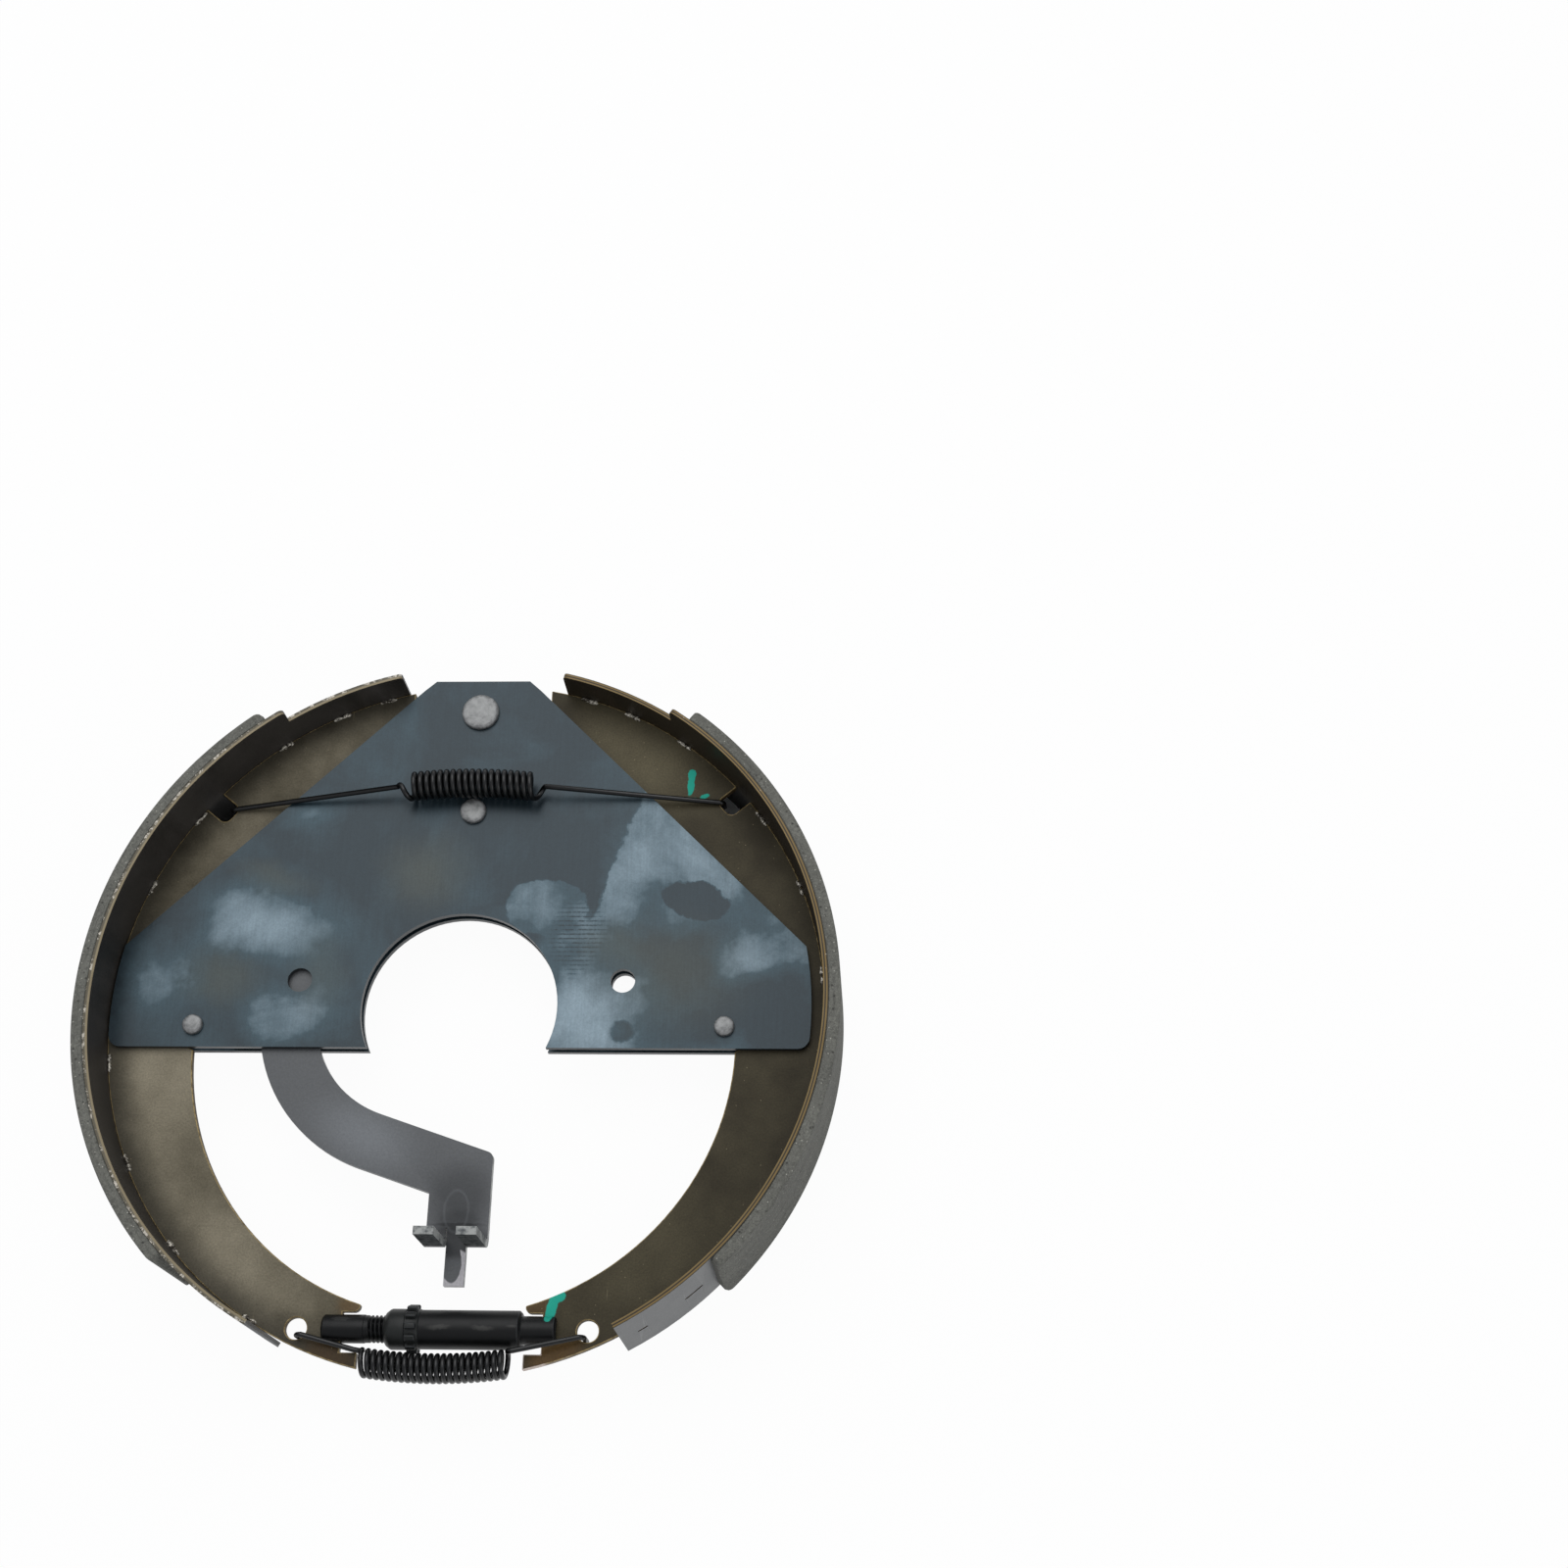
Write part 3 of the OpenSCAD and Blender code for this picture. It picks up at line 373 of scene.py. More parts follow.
def phosphate(name, light, dark, table_shade, gold_spots, light_spots, bare_spots, paint_spots):
    """Oiled phosphate on the webs: olive grain, painted shade by the table, golden brown ends,
    paint.
    """
    finish, tree, shader, place, edge = new_finish(name)
    mottle = add(tree, "ShaderNodeTexNoise",
                 {"Vector": place, "Scale": per(22), "Detail": 6.0, "Roughness": 0.62})
    grain = add(tree, "ShaderNodeTexNoise",
                {"Vector": place, "Scale": per(0.8), "Detail": 3.0, "Roughness": 0.75})
    crystals = add(tree, "ShaderNodeTexVoronoi", {"Vector": place, "Scale": per(1.6)})
    bent = bent_place(tree, place, 8, 6)
    drift = add(tree, "ShaderNodeMapRange",
                {"Value": mottle.outputs["Fac"], "From Min": 0.34, "From Max": 0.68,
                 "To Min": 0.1, "To Max": 0.42})
    lit = add(tree, "ShaderNodeMath",
              {0: drift.outputs[0], 1: spots(tree, bent, light_spots)},
              operation="ADD", use_clamp=True)
    tone = add(tree, "ShaderNodeMix",
               {0: lit.outputs[0], 6: linear(dark), 7: linear(light)}, data_type="RGBA")
    golden = spots(tree, bent, gold_spots)
    gold = add(tree, "ShaderNodeMix", {0: golden, 6: tone.outputs[2], 7: linear("#5d441f")},
               data_type="RGBA")
    speck = add(tree, "ShaderNodeMapRange",
                {"Value": grain.outputs["Fac"], "From Min": 0.3, "From Max": 0.7,
                 "To Min": 0.78, "To Max": 1.2})
    pit = add(tree, "ShaderNodeMapRange",
              {"Value": crystals.outputs["Distance"], "From Max": 0.25,
               "To Min": 0.82, "To Max": 1.0})
    both = add(tree, "ShaderNodeMath", {0: speck.outputs[0], 1: pit.outputs[0]},
               operation="MULTIPLY")
    radius, _ = about_shoe(tree, bent)
    # painted shade: the web's colour darkens over the last 15 mm before the table
    shade_by_table = add(tree, "ShaderNodeMapRange",
                   {"Value": radius, "From Min": (TABLE_RI - 15) * MM,
                    "From Max": (TABLE_RI - 1) * MM, "To Min": 1.0, "To Max": table_shade},
                   interpolation_type="SMOOTHSTEP")
    grain_and_shade = add(tree, "ShaderNodeMath", {0: both.outputs[0], 1: shade_by_table.outputs[0]},
                  operation="MULTIPLY")
    toned = add(tree, "ShaderNodeVectorMath",
                {0: gold.outputs[2], "Scale": grain_and_shade.outputs[0]}, operation="SCALE")
    drawn_out = add(tree, "ShaderNodeMapping",
                    {"Vector": place, "Rotation": (0, 0, math.radians(38)),
                     "Scale": (1.0, 0.06, 1.0)})
    strokes = add(tree, "ShaderNodeTexNoise",
                  {"Vector": drawn_out.outputs[0], "Scale": per(1.4), "Detail": 2.0,
                   "Roughness": 0.5})
    thin = add(tree, "ShaderNodeMapRange",
               {"Value": strokes.outputs["Fac"], "From Min": 0.7, "From Max": 0.76,
                "To Max": 0.3})
    here = add(tree, "ShaderNodeMapRange",
               {"Value": mottle.outputs["Fac"], "From Min": 0.5, "From Max": 0.56})
    stroke = add(tree, "ShaderNodeMath", {0: thin.outputs[0], 1: here.outputs[0]},
                 operation="MULTIPLY")
    dust = add(tree, "ShaderNodeTexVoronoi", {"Vector": place, "Scale": per(4.2)})
    mote = add(tree, "ShaderNodeMapRange",
               {"Value": dust.outputs["Distance"], "From Min": 0.06, "From Max": 0.04,
                "To Max": 0.5})
    marked = add(tree, "ShaderNodeMath", {0: stroke.outputs[0], 1: mote.outputs[0]},
                 operation="MAXIMUM")
    scratched = add(tree, "ShaderNodeMix", {0: marked.outputs[0], 6: toned.outputs[0],
                                            7: linear("#9a8f72")}, data_type="RGBA")
    rubbed, wall = edge_masks(tree, place, edge)
    bared = spots(tree, bent, bare_spots)
    pale_wall = add(tree, "ShaderNodeMix",
                    {0: bared, 6: linear("#4b3c22"), 7: linear("#c4b5ab")}, data_type="RGBA")
    cut = add(tree, "ShaderNodeMix", {0: wall, 6: scratched.outputs[2], 7: pale_wall.outputs[2]},
              data_type="RGBA")
    rim = add(tree, "ShaderNodeMix",
              {0: bared, 6: linear("#a89468"), 7: linear("#d6c8bd")}, data_type="RGBA")
    worn = add(tree, "ShaderNodeMix", {0: rubbed, 6: cut.outputs[2], 7: rim.outputs[2]},
               data_type="RGBA")
    painted, dab = paint_dabs(tree, place, worn.outputs[2], paint_spots)
    tree.links.new(painted, shader.inputs["Base Color"])
    dull = add(tree, "ShaderNodeMapRange",
               {"Value": golden, "To Min": 0.56, "To Max": 0.36})
    tree.links.new(dull.outputs[0], shader.inputs["Roughness"])
    shader.inputs["Metallic"].default_value = 0.2
    shader.inputs["Specular IOR Level"].default_value = 0.25
    relief(tree, shader, [(grain.outputs["Fac"], 0.06, 0.5), (dab, 0.08, 0.5)])
    return finish


def table_coat(name, side):
    """The tables: near black inside with painted shade below the web, bare blue-grey steel
    outside, gold along the front edge.
    """
    finish, tree, shader, place, edge = new_finish(name)
    mottle = add(tree, "ShaderNodeTexNoise",
                 {"Vector": place, "Scale": per(14), "Detail": 5.0, "Roughness": 0.6})
    grain = add(tree, "ShaderNodeTexNoise",
                {"Vector": place, "Scale": per(0.9), "Detail": 4.0, "Roughness": 0.75})
    height = add(tree, "ShaderNodeSeparateXYZ", {0: place})
    # painted shade: below the web the inside darkens to 0.12 of its colour
    behind = add(tree, "ShaderNodeMapRange",
                 {"Value": height.outputs[2], "From Min": WEB_LOW * MM,
                  "From Max": (WEB_TOP + 1) * MM, "To Min": 0.12})
    radius, _ = about_shoe(tree, place)
    outside = add(tree, "ShaderNodeMath", {0: radius, 1: (TABLE_RO - 0.7) * MM},
                  operation="GREATER_THAN")
    inner_dark, inner_light = INNER_TONES[side]
    inner = add(tree, "ShaderNodeMix",
                {0: mottle.outputs["Fac"], 6: linear(inner_dark), 7: linear(inner_light)},
                data_type="RGBA")
    shaded = add(tree, "ShaderNodeVectorMath",
                 {0: inner.outputs[2], "Scale": behind.outputs[0]}, operation="SCALE")
    outer = add(tree, "ShaderNodeMix",
                {0: mottle.outputs["Fac"], 6: linear("#4f5152"), 7: linear("#696b6c")},
                data_type="RGBA")
    face = add(tree, "ShaderNodeMix",
               {0: outside.outputs[0], 6: shaded.outputs[0], 7: outer.outputs[2]},
               data_type="RGBA")
    speck = add(tree, "ShaderNodeMapRange",
                {"Value": grain.outputs["Fac"], "From Min": 0.3, "From Max": 0.7,
                 "To Min": 0.82, "To Max": 1.18})
    toned = add(tree, "ShaderNodeVectorMath",
                {0: face.outputs[2], "Scale": speck.outputs[0]}, operation="SCALE")
    rubbed, wall = edge_masks(tree, place, edge)
    across = add(tree, "ShaderNodeMapRange",
                 {"Value": radius, "From Min": TABLE_RI * MM, "From Max": TABLE_RO * MM})
    bands = add(tree, "ShaderNodeValToRGB", {"Fac": across.outputs[0]})
    while len(bands.color_ramp.elements) < len(EDGE_BANDS[side]):
        bands.color_ramp.elements.new(1.0)
    for element, (at, code) in zip(bands.color_ramp.elements, EDGE_BANDS[side]):
        element.position = at
        element.color = linear(code)
    cut = add(tree, "ShaderNodeMix", {0: wall, 6: toned.outputs[0], 7: bands.outputs[0]},
              data_type="RGBA")
    faint = add(tree, "ShaderNodeMath", {0: rubbed, 1: 0.2}, operation="MULTIPLY")
    worn = add(tree, "ShaderNodeMix",
               {0: faint.outputs[0], 6: cut.outputs[2], 7: linear("#a79a78")},
               data_type="RGBA")
    chips = add(tree, "ShaderNodeTexNoise",
                {"Vector": place, "Scale": per(3.2), "Detail": 5.0, "Roughness": 0.8})
    chipped = add(tree, "ShaderNodeMapRange",
                  {"Value": chips.outputs["Fac"], "From Min": CHIPS_FROM[side],
                   "From Max": CHIPS_FROM[side] + 0.05})
    by_joint = add(tree, "ShaderNodeMapRange",
                   {"Value": across.outputs[0], "From Min": 0.4, "From Max": 0.62,
                    "To Max": 0.85})
    near_joint = add(tree, "ShaderNodeMath", {0: chipped.outputs[0], 1: by_joint.outputs[0]},
                     operation="MULTIPLY")
    on_edge = add(tree, "ShaderNodeMath", {0: near_joint.outputs[0], 1: wall},
                  operation="MULTIPLY")
    bright = add(tree, "ShaderNodeMix",
                 {0: on_edge.outputs[0], 6: worn.outputs[2], 7: linear("#cfc8bb")},
                 data_type="RGBA")
    tree.links.new(bright.outputs[2], shader.inputs["Base Color"])
    dull = add(tree, "ShaderNodeMapRange",
               {"Value": mottle.outputs["Fac"], "To Min": 0.38, "To Max": 0.6})
    tree.links.new(dull.outputs[0], shader.inputs["Roughness"])
    shader.inputs["Metallic"].default_value = 0.25
    relief(tree, shader, [(grain.outputs["Fac"], 0.06, 0.5)])
    return finish


def friction_block():
    """Moulded friction material: grey binder with pale and dark fibres, pores, chalky face."""
    finish, tree, shader, place, _ = new_finish("friction_block")
    fibres = add(tree, "ShaderNodeTexNoise",
                 {"Vector": place, "Scale": per(1.1), "Detail": 6.0, "Roughness": 0.8,
                  "Distortion": 1.2})
    clouds = add(tree, "ShaderNodeTexNoise",
                 {"Vector": place, "Scale": per(18), "Detail": 4.0, "Roughness": 0.6})
    pores = add(tree, "ShaderNodeTexVoronoi", {"Vector": place, "Scale": per(3.4)})
    pore = add(tree, "ShaderNodeMapRange",
               {"Value": pores.outputs["Distance"], "From Min": 0.06, "From Max": 0.2})
    spread = add(tree, "ShaderNodeMapRange",
                 {"Value": fibres.outputs["Fac"], "From Min": 0.36, "From Max": 0.66})
    body = add(tree, "ShaderNodeMix",
               {0: spread.outputs[0], 6: linear("#4f4f4a"), 7: linear("#7f7f77")},
               data_type="RGBA")
    cloud = add(tree, "ShaderNodeMapRange",
                {"Value": clouds.outputs["Fac"], "From Min": 0.3, "From Max": 0.7,
                 "To Min": 0.86, "To Max": 1.12})
    toned = add(tree, "ShaderNodeVectorMath",
                {0: body.outputs[2], "Scale": cloud.outputs[0]}, operation="SCALE")
    porous = add(tree, "ShaderNodeMix",
                 {0: pore.outputs[0], 6: linear("#3f3e3a"), 7: toned.outputs[0]},
                 data_type="RGBA")
    grains = add(tree, "ShaderNodeTexVoronoi", {"Vector": place, "Scale": per(2.3)})
    pale_grain = add(tree, "ShaderNodeMapRange",
                     {"Value": grains.outputs["Distance"], "From Min": 0.12, "From Max": 0.09})
    grained = add(tree, "ShaderNodeMix",
                  {0: pale_grain.outputs[0], 6: porous.outputs[2], 7: linear("#aeaca2")},
                  data_type="RGBA")
    # score marks: a radian of the shoe counts as 12 mm, so they are drawn out along it
    radius, split = about_shoe(tree, place)
    turn = add(tree, "ShaderNodeMath", {0: split[1], 1: split[0]}, operation="ARCTAN2")
    drawn = add(tree, "ShaderNodeMath", {0: turn.outputs[0], 1: 12 * MM}, operation="MULTIPLY")
    swept = add(tree, "ShaderNodeCombineXYZ", {0: radius, 1: split[2], 2: drawn.outputs[0]})
    scores = add(tree, "ShaderNodeTexNoise",
                 {"Vector": swept.outputs[0], "Scale": per(1.5), "Detail": 5.0,
                  "Roughness": 0.7})
    scored = add(tree, "ShaderNodeMapRange",
                 {"Value": scores.outputs["Fac"], "From Min": 0.3, "From Max": 0.46,
                  "To Min": 0.62})
    streaked = add(tree, "ShaderNodeVectorMath",
                   {0: grained.outputs[2], "Scale": scored.outputs[0]}, operation="SCALE")
    tree.links.new(streaked.outputs[0], shader.inputs["Base Color"])
    shader.inputs["Roughness"].default_value = 0.92
    relief(tree, shader, [(fibres.outputs["Fac"], 0.25, 0.6), (pore.outputs[0], 0.3, 0.5)])
    return finish


def plated_rivet():
    """Cold-headed rivets: pale grey, mottled by the heading die, with small dents."""
    finish, tree, shader, place, _ = new_finish("plated_rivet")
    mottle = add(tree, "ShaderNodeTexNoise",
                 {"Vector": place, "Scale": per(2.6), "Detail": 5.0, "Roughness": 0.7})
    dents = add(tree, "ShaderNodeTexVoronoi", {"Vector": place, "Scale": per(1.9)},
                feature="SMOOTH_F1")
    spread = add(tree, "ShaderNodeMapRange",
                 {"Value": mottle.outputs["Fac"], "From Min": 0.34, "From Max": 0.66})
    tone = add(tree, "ShaderNodeMix",
               {0: spread.outputs[0], 6: linear("#666767"), 7: linear("#a2a3a2")},
               data_type="RGBA")
    tree.links.new(tone.outputs[2], shader.inputs["Base Color"])
    dull = add(tree, "ShaderNodeMapRange",
               {"Value": spread.outputs[0], "To Min": 0.38, "To Max": 0.6})
    tree.links.new(dull.outputs[0], shader.inputs["Roughness"])
    shader.inputs["Metallic"].default_value = 0.55
    relief(tree, shader, [(dents.outputs["Distance"], 0.12, 0.4),
                          (mottle.outputs["Fac"], 0.12, 0.5)])
    return finish


def spring_lacquer():
    """The springs' black lacquer: glossy wire with a few dull rubs."""
    finish, tree, shader, place, _ = new_finish("spring_lacquer")
    rub = add(tree, "ShaderNodeTexNoise",
              {"Vector": place, "Scale": per(3.5), "Detail": 4.0, "Roughness": 0.7})
    rubbed = add(tree, "ShaderNodeMapRange",
                 {"Value": rub.outputs["Fac"], "From Min": 0.5, "From Max": 0.75})
    tone = add(tree, "ShaderNodeMix",
               {0: rubbed.outputs[0], 6: linear("#050606"), 7: linear("#111315")},
               data_type="RGBA")
    tree.links.new(tone.outputs[2], shader.inputs["Base Color"])
    dull = add(tree, "ShaderNodeMapRange",
               {"Value": rub.outputs["Fac"], "To Min": 0.2, "To Max": 0.44})
    tree.links.new(dull.outputs[0], shader.inputs["Roughness"])
    relief(tree, shader, [(rub.outputs["Fac"], 0.03, 0.4)])
    return finish


def black_oxide(name, tones, scuff_spots, paint_spots):
    """Satin black on the adjuster: fine turning lines, rubbed corners, a few pale scuffs."""
    finish, tree, shader, place, edge = new_finish(name)
    turned = add(tree, "ShaderNodeMapping", {"Vector": place, "Scale": (1, 0.05, 0.05)})
    lines = add(tree, "ShaderNodeTexNoise",
                {"Vector": turned.outputs[0], "Scale": per(0.5), "Detail": 3.0})
    drift = add(tree, "ShaderNodeTexNoise",
                {"Vector": place, "Scale": per(7), "Detail": 5.0, "Roughness": 0.65})
    bent = bent_place(tree, place, 1.6, 2.2)
    scuffs = add(tree, "ShaderNodeMath", {0: spots(tree, bent, scuff_spots), 1: 1.0},
                 operation="MULTIPLY", use_clamp=True)
    tone = add(tree, "ShaderNodeMix",
               {0: drift.outputs["Fac"], 6: linear(tones[0]), 7: linear(tones[1])},
               data_type="RGBA")
    scuffed = add(tree, "ShaderNodeMix", {0: scuffs.outputs[0], 6: tone.outputs[2],
                                          7: linear("#4a4a47")}, data_type="RGBA")
    rubbed, _ = edge_masks(tree, place, edge)
    worn = add(tree, "ShaderNodeMix", {0: rubbed, 6: scuffed.outputs[2],
                                       7: linear("#303234")}, data_type="RGBA")
    painted, _ = paint_dabs(tree, place, worn.outputs[2], paint_spots)
    tree.links.new(painted, shader.inputs["Base Color"])
    dull = add(tree, "ShaderNodeMapRange",
               {"Value": drift.outputs["Fac"], "To Min": 0.34, "To Max": 0.52})
    tree.links.new(dull.outputs[0], shader.inputs["Roughness"])
    shader.inputs["Metallic"].default_value = 0.1
    shader.inputs["Specular IOR Level"].default_value = 0.3
    relief(tree, shader, [(lines.outputs["Fac"], 0.03, 0.3), (drift.outputs["Fac"], 0.1, 0.3)])
    return finish


def weld_nugget():
    """Spot weld squeeze-out: bright, burnt brown in places."""
    finish, tree, shader, place, _ = new_finish("weld_nugget")
    burn = add(tree, "ShaderNodeTexNoise",
               {"Vector": place, "Scale": per(1.5), "Detail": 4.0, "Roughness": 0.7})
    burnt = add(tree, "ShaderNodeMapRange",
                {"Value": burn.outputs["Fac"], "From Min": 0.42, "From Max": 0.6})
    tone = add(tree, "ShaderNodeMix",
               {0: burnt.outputs[0], 6: linear("#352e24"), 7: linear("#d3cdbf")},
               data_type="RGBA")
    tree.links.new(tone.outputs[2], shader.inputs["Base Color"])
    shader.inputs["Roughness"].default_value = 0.36
    shader.inputs["Metallic"].default_value = 0.5
    relief(tree, shader, [(burn.outputs["Fac"], 0.15, 0.5)])
    return finish


def white_floor():
    """The floor: white to the camera, and it still takes a faint shadow."""
    finish = bpy.data.materials.new("white_floor")
    finish.use_nodes = True
    tree = finish.node_tree
    tree.nodes.clear()
    matt = add(tree, "ShaderNodeBsdfDiffuse", {"Color": (0.86, 0.86, 0.86, 1)})
    lit = add(tree, "ShaderNodeEmission", {"Color": (1, 1, 1, 1), "Strength": 1.0})
    ray = add(tree, "ShaderNodeLightPath")
    seen = add(tree, "ShaderNodeMath",
               {0: ray.outputs["Is Camera Ray"], 1: ray.outputs["Is Glossy Ray"]},
               operation="MAXIMUM")
    deep = add(tree, "ShaderNodeAmbientOcclusion", {"Distance": 0.045}, samples=16)
    open_to_sky = add(tree, "ShaderNodeMapRange",
                      {"Value": deep.outputs["AO"], "From Min": 0.02, "From Max": 0.14,
                       "To Max": 0.96})
    # the strip closed in by the upper webs and tables, which the hook slots look down on
    radius, split = about_shoe(tree, add(tree, "ShaderNodeTexCoord").outputs["Object"])
    past = add(tree, "ShaderNodeMapRange",
               {"Value": radius, "From Min": (TABLE_RI - 33) * MM,
                "From Max": (TABLE_RI - 23) * MM})
    short = add(tree, "ShaderNodeMapRange",
                {"Value": radius, "From Min": (TABLE_RI + 4) * MM,
                 "From Max": (TABLE_RI + 1) * MM})
    upper = add(tree, "ShaderNodeMapRange",
                {"Value": split[1], "From Min": 20 * MM, "From Max": 50 * MM})
    ring = add(tree, "ShaderNodeMath", {0: past.outputs[0], 1: short.outputs[0]},
               operation="MULTIPLY")
    closed_in = add(tree, "ShaderNodeMath", {0: ring.outputs[0], 1: upper.outputs[0]},
                    operation="MULTIPLY")
    free = add(tree, "ShaderNodeMath", {0: 1.0, 1: closed_in.outputs[0]}, operation="SUBTRACT")
    lighted = add(tree, "ShaderNodeMath", {0: open_to_sky.outputs[0], 1: free.outputs[0]},
                  operation="MULTIPLY")
    share = add(tree, "ShaderNodeMath", {0: seen.outputs[0], 1: lighted.outputs[0]},
                operation="MULTIPLY")
    both = add(tree, "ShaderNodeMixShader",
               {0: share.outputs[0], 1: matt.outputs[0], 2: lit.outputs[0]})
    add(tree, "ShaderNodeOutputMaterial", {"Surface": both.outputs[0]})
    return finish


# The front plate's marks as placed spots, in millimetres from the spindle opening's centre.
FRONT_SPOTS = [
    (-92, 40, 38, 25, -20, 1.0, 0.66), (-66, 31, 28, 20, 0, 1.0, 0.42),
    (-124, 10, 24, 34, 0, 1.0, 0.5), (-73, -5, 23, 18, 0, 0.8, 0.65),
    (-56, 0, 17, 28, 0, 1.0, 0.42), (-68, 84, 19, 14, 0, 1.0, 0.45),
    (-104, 28, 26, 14, 20, 1.0, 0.3), (66, 58, 18, 52, -10, 1.0, 0.34),
    (92, 66, 36, 14, -45, 1.0, 0.2), (112, 20, 26, 16, 0, 1.0, 0.5),
    (50, 0, 18, 27, 0, 0.9, 0.45), (90, 20, 28, 20, 10, 0.9, -0.42),
    (88, -8, 34, 22, 0, 0.9, -0.5), (130, -6, 38, 34, 0, 0.8, -0.7),
    (66, 28, 26, 20, 0, 1.0, -0.25), (90, 14, 42, 26, 0, 1.0, -0.2),
    (30, 46, 17, 13, 0, 1.0, 0.22), (38, 33, 13, 9, 0, 1.0, -0.12),
]
FRONT_SHARP = [(94, 46, 15, 8.5, -18, 0.16, -0.8), (66, -10, 6.5, 5.5, 0, 0.4, -0.45)]
FRONT_BROWN = [
    (-18, 58, 26, 24, 0, 1.0, 0.5), (84, 14, 46, 34, 0, 1.0, 0.42),
    (-98, 12, 24, 18, 0, 1.0, 0.5), (-80, 56, 26, 9, -15, 1.0, 0.4),
    (-58, 14, 16, 26, 0, 1.0, 0.35), (60, 28, 22, 14, 0, 1.0, 0.3),
]
FRONT_BARE = (61, 65, -19.5, 0.8)
FRONT_LOBE = [(33, 43, 17, 13, 0, 0.1, 1.25), (44, 20, 17, 26, 0, 0.3, 1.0)]
FRONT_DASHED = [(46, 30, 14, 19, 0, 0.6, 1.0)]
REAR_SPOTS = [(-60, 60, 40, 30, 20, 1.0, 0.5), (80, 30, 36, 30, -20, 1.0, 0.5)]
REAR_SHARP = [(-30, 112, 22, 14, 30, 0.3, 0.3), (95, 0, 20, 12, 0, 0.3, -0.3)]
REAR_BROWN = [(20, 70, 30, 24, 0, 1.0, 0.5)]
REAR_BARE = (-70, 40, 160, 1.5)
REAR_LOBE = [(-20, 90, 16, 12, 0, 0.1, 1.0)]
REAR_DASHED = [(-60, 20, 20, 20, 0, 0.8, 1.0)]

front_scale = mill_scale("front_mill_scale", FRONT_SPOTS, FRONT_BROWN, FRONT_SHARP,
                         FRONT_BARE, FRONT_LOBE, FRONT_DASHED)
rear_scale = mill_scale("rear_mill_scale", REAR_SPOTS, REAR_BROWN, REAR_SHARP,
                        REAR_BARE, REAR_LOBE, REAR_DASHED)
lever_steel = lever_scale()
# The number after each web's dark colour sets how dark the painted shade by its table gets.
left_phosphate = phosphate(
    "left_phosphate", light="#968e7a", dark="#453f2f", table_shade=0.42,
    gold_spots=[(-32, -118, 9, 12, 0, 0.7, 0.6), (-40, -137, 14, 6, -20, 0.6, 0.8),
                (-110, 96, 8, 8, 0, 0.9, 0.5)],
    light_spots=[(-120, -30, 34, 60, 15, 0.9, 0.5), (-84, -100, 50, 30, -38, 0.9, 0.5)],
    bare_spots=[(-46, -147, 16, 8, -15, 0.4, 0.8)], paint_spots=[])
right_phosphate = phosphate(
    "right_phosphate", light="#5e5742", dark="#2b2517", table_shade=0.9,
    gold_spots=[(38, -118, 9, 10, 0, 0.7, 0.5), (46, -136, 16, 6, 20, 0.6, 0.8)],
    light_spots=[(84, -100, 46, 24, 36, 0.9, 0.4), (70, 112, 50, 34, -35, 0.9, 0.5)],
    bare_spots=[(49, -147, 26, 9, 15, 0.3, 1.0), (37.5, -139, 6, 9, 0, 0.4, 1.0)],
    paint_spots=[
        (90.4, 102.8, 1.9, 2.4, 0, 0.2, 1.0), (90.1, 98.6, 1.6, 6.0, -4, 0.2, 1.0),
        (91.5, 91.4, 1.7, 1.0, 0, 0.3, 1.0), (96.0, 92.8, 2.4, 1.2, 20, 0.3, 1.0),
        (46.2, -114.6, 3.4, 2.6, 30, 0.2, 1.0), (43.9, -119.4, 2.2, 6.4, -14, 0.2, 1.0)])
left_coat = table_coat("left_table_coat", "left")
right_coat = table_coat("right_table_coat", "right")
lining_finish = friction_block()
rivet_finish = plated_rivet()
lacquer = spring_lacquer()
tube_tones = ("#050606", "#0e0f10")
screw_black = black_oxide("screw_black", tube_tones,
                          scuff_spots=[(-36, -124, 5, 1.0, 0, 0.6, 0.35)], paint_spots=[])
star_black = black_oxide("star_black", ("#151716", "#2a2c2b"), scuff_spots=[], paint_spots=[])
socket_black = black_oxide(
    "socket_black", tube_tones,
    scuff_spots=[(2, -127.4, 6, 1.3, 3, 0.8, 0.5), (19, -127.6, 6, 1.3, -2, 0.8, 0.5),
                 (30, -126.8, 3, 0.8, 0, 0.8, 0.4)],
    paint_spots=[(43.2, -122.4, 1.6, 2.6, -10, 0.2, 1.0)])
nugget = weld_nugget()


# Pieces

def settle(name, mesh, material, body, replaced=(), bend=None):
    """Puts a mesh in the scene on its body, or, when a bend is given, in place without a body, for
    its nodes.
    """
    mesh.name = name
    mesh.materials.clear()
    mesh.materials.append(material)
    made = bpy.data.objects.new(name, mesh)
    bpy.context.scene.collection.objects.link(made)
    if bend:
        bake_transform(made)
    else:
        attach(made, body)
    if replaced:
        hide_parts(*replaced)


def plain_mesh(bm, crease=24):
    """A shaded mesh from a bmesh: smooth over curves, sharp where faces turn by more."""
    mesh = bpy.data.meshes.new("plain")
    bm.to_mesh(mesh)
    bm.free()
    mesh.shade_smooth()
    mesh.set_sharp_from_angle(angle=math.radians(crease))
    return mesh


def soften(bm, width, is_wall):
    """Rounds a solid's sharp edges and marks them 1, and marks its cut walls 0.5."""
    edge = bm.faces.layers.float.new("edge")
    sharp = [e for e in bm.edges if len(e.link_faces) == 2
             and e.calc_face_angle(0) > math.radians(28)]
    rounded = bmesh.ops.bevel(bm, geom=sharp, offset=width * MM, offset_type="OFFSET",
                              segments=3, profile=0.5, affect="EDGES", clamp_overlap=True)
    new_faces = set(rounded["faces"])
    for face in bm.faces:
        if face in new_faces:
            face[edge] = 1.0
        elif is_wall(face):
            face[edge] = 0.5


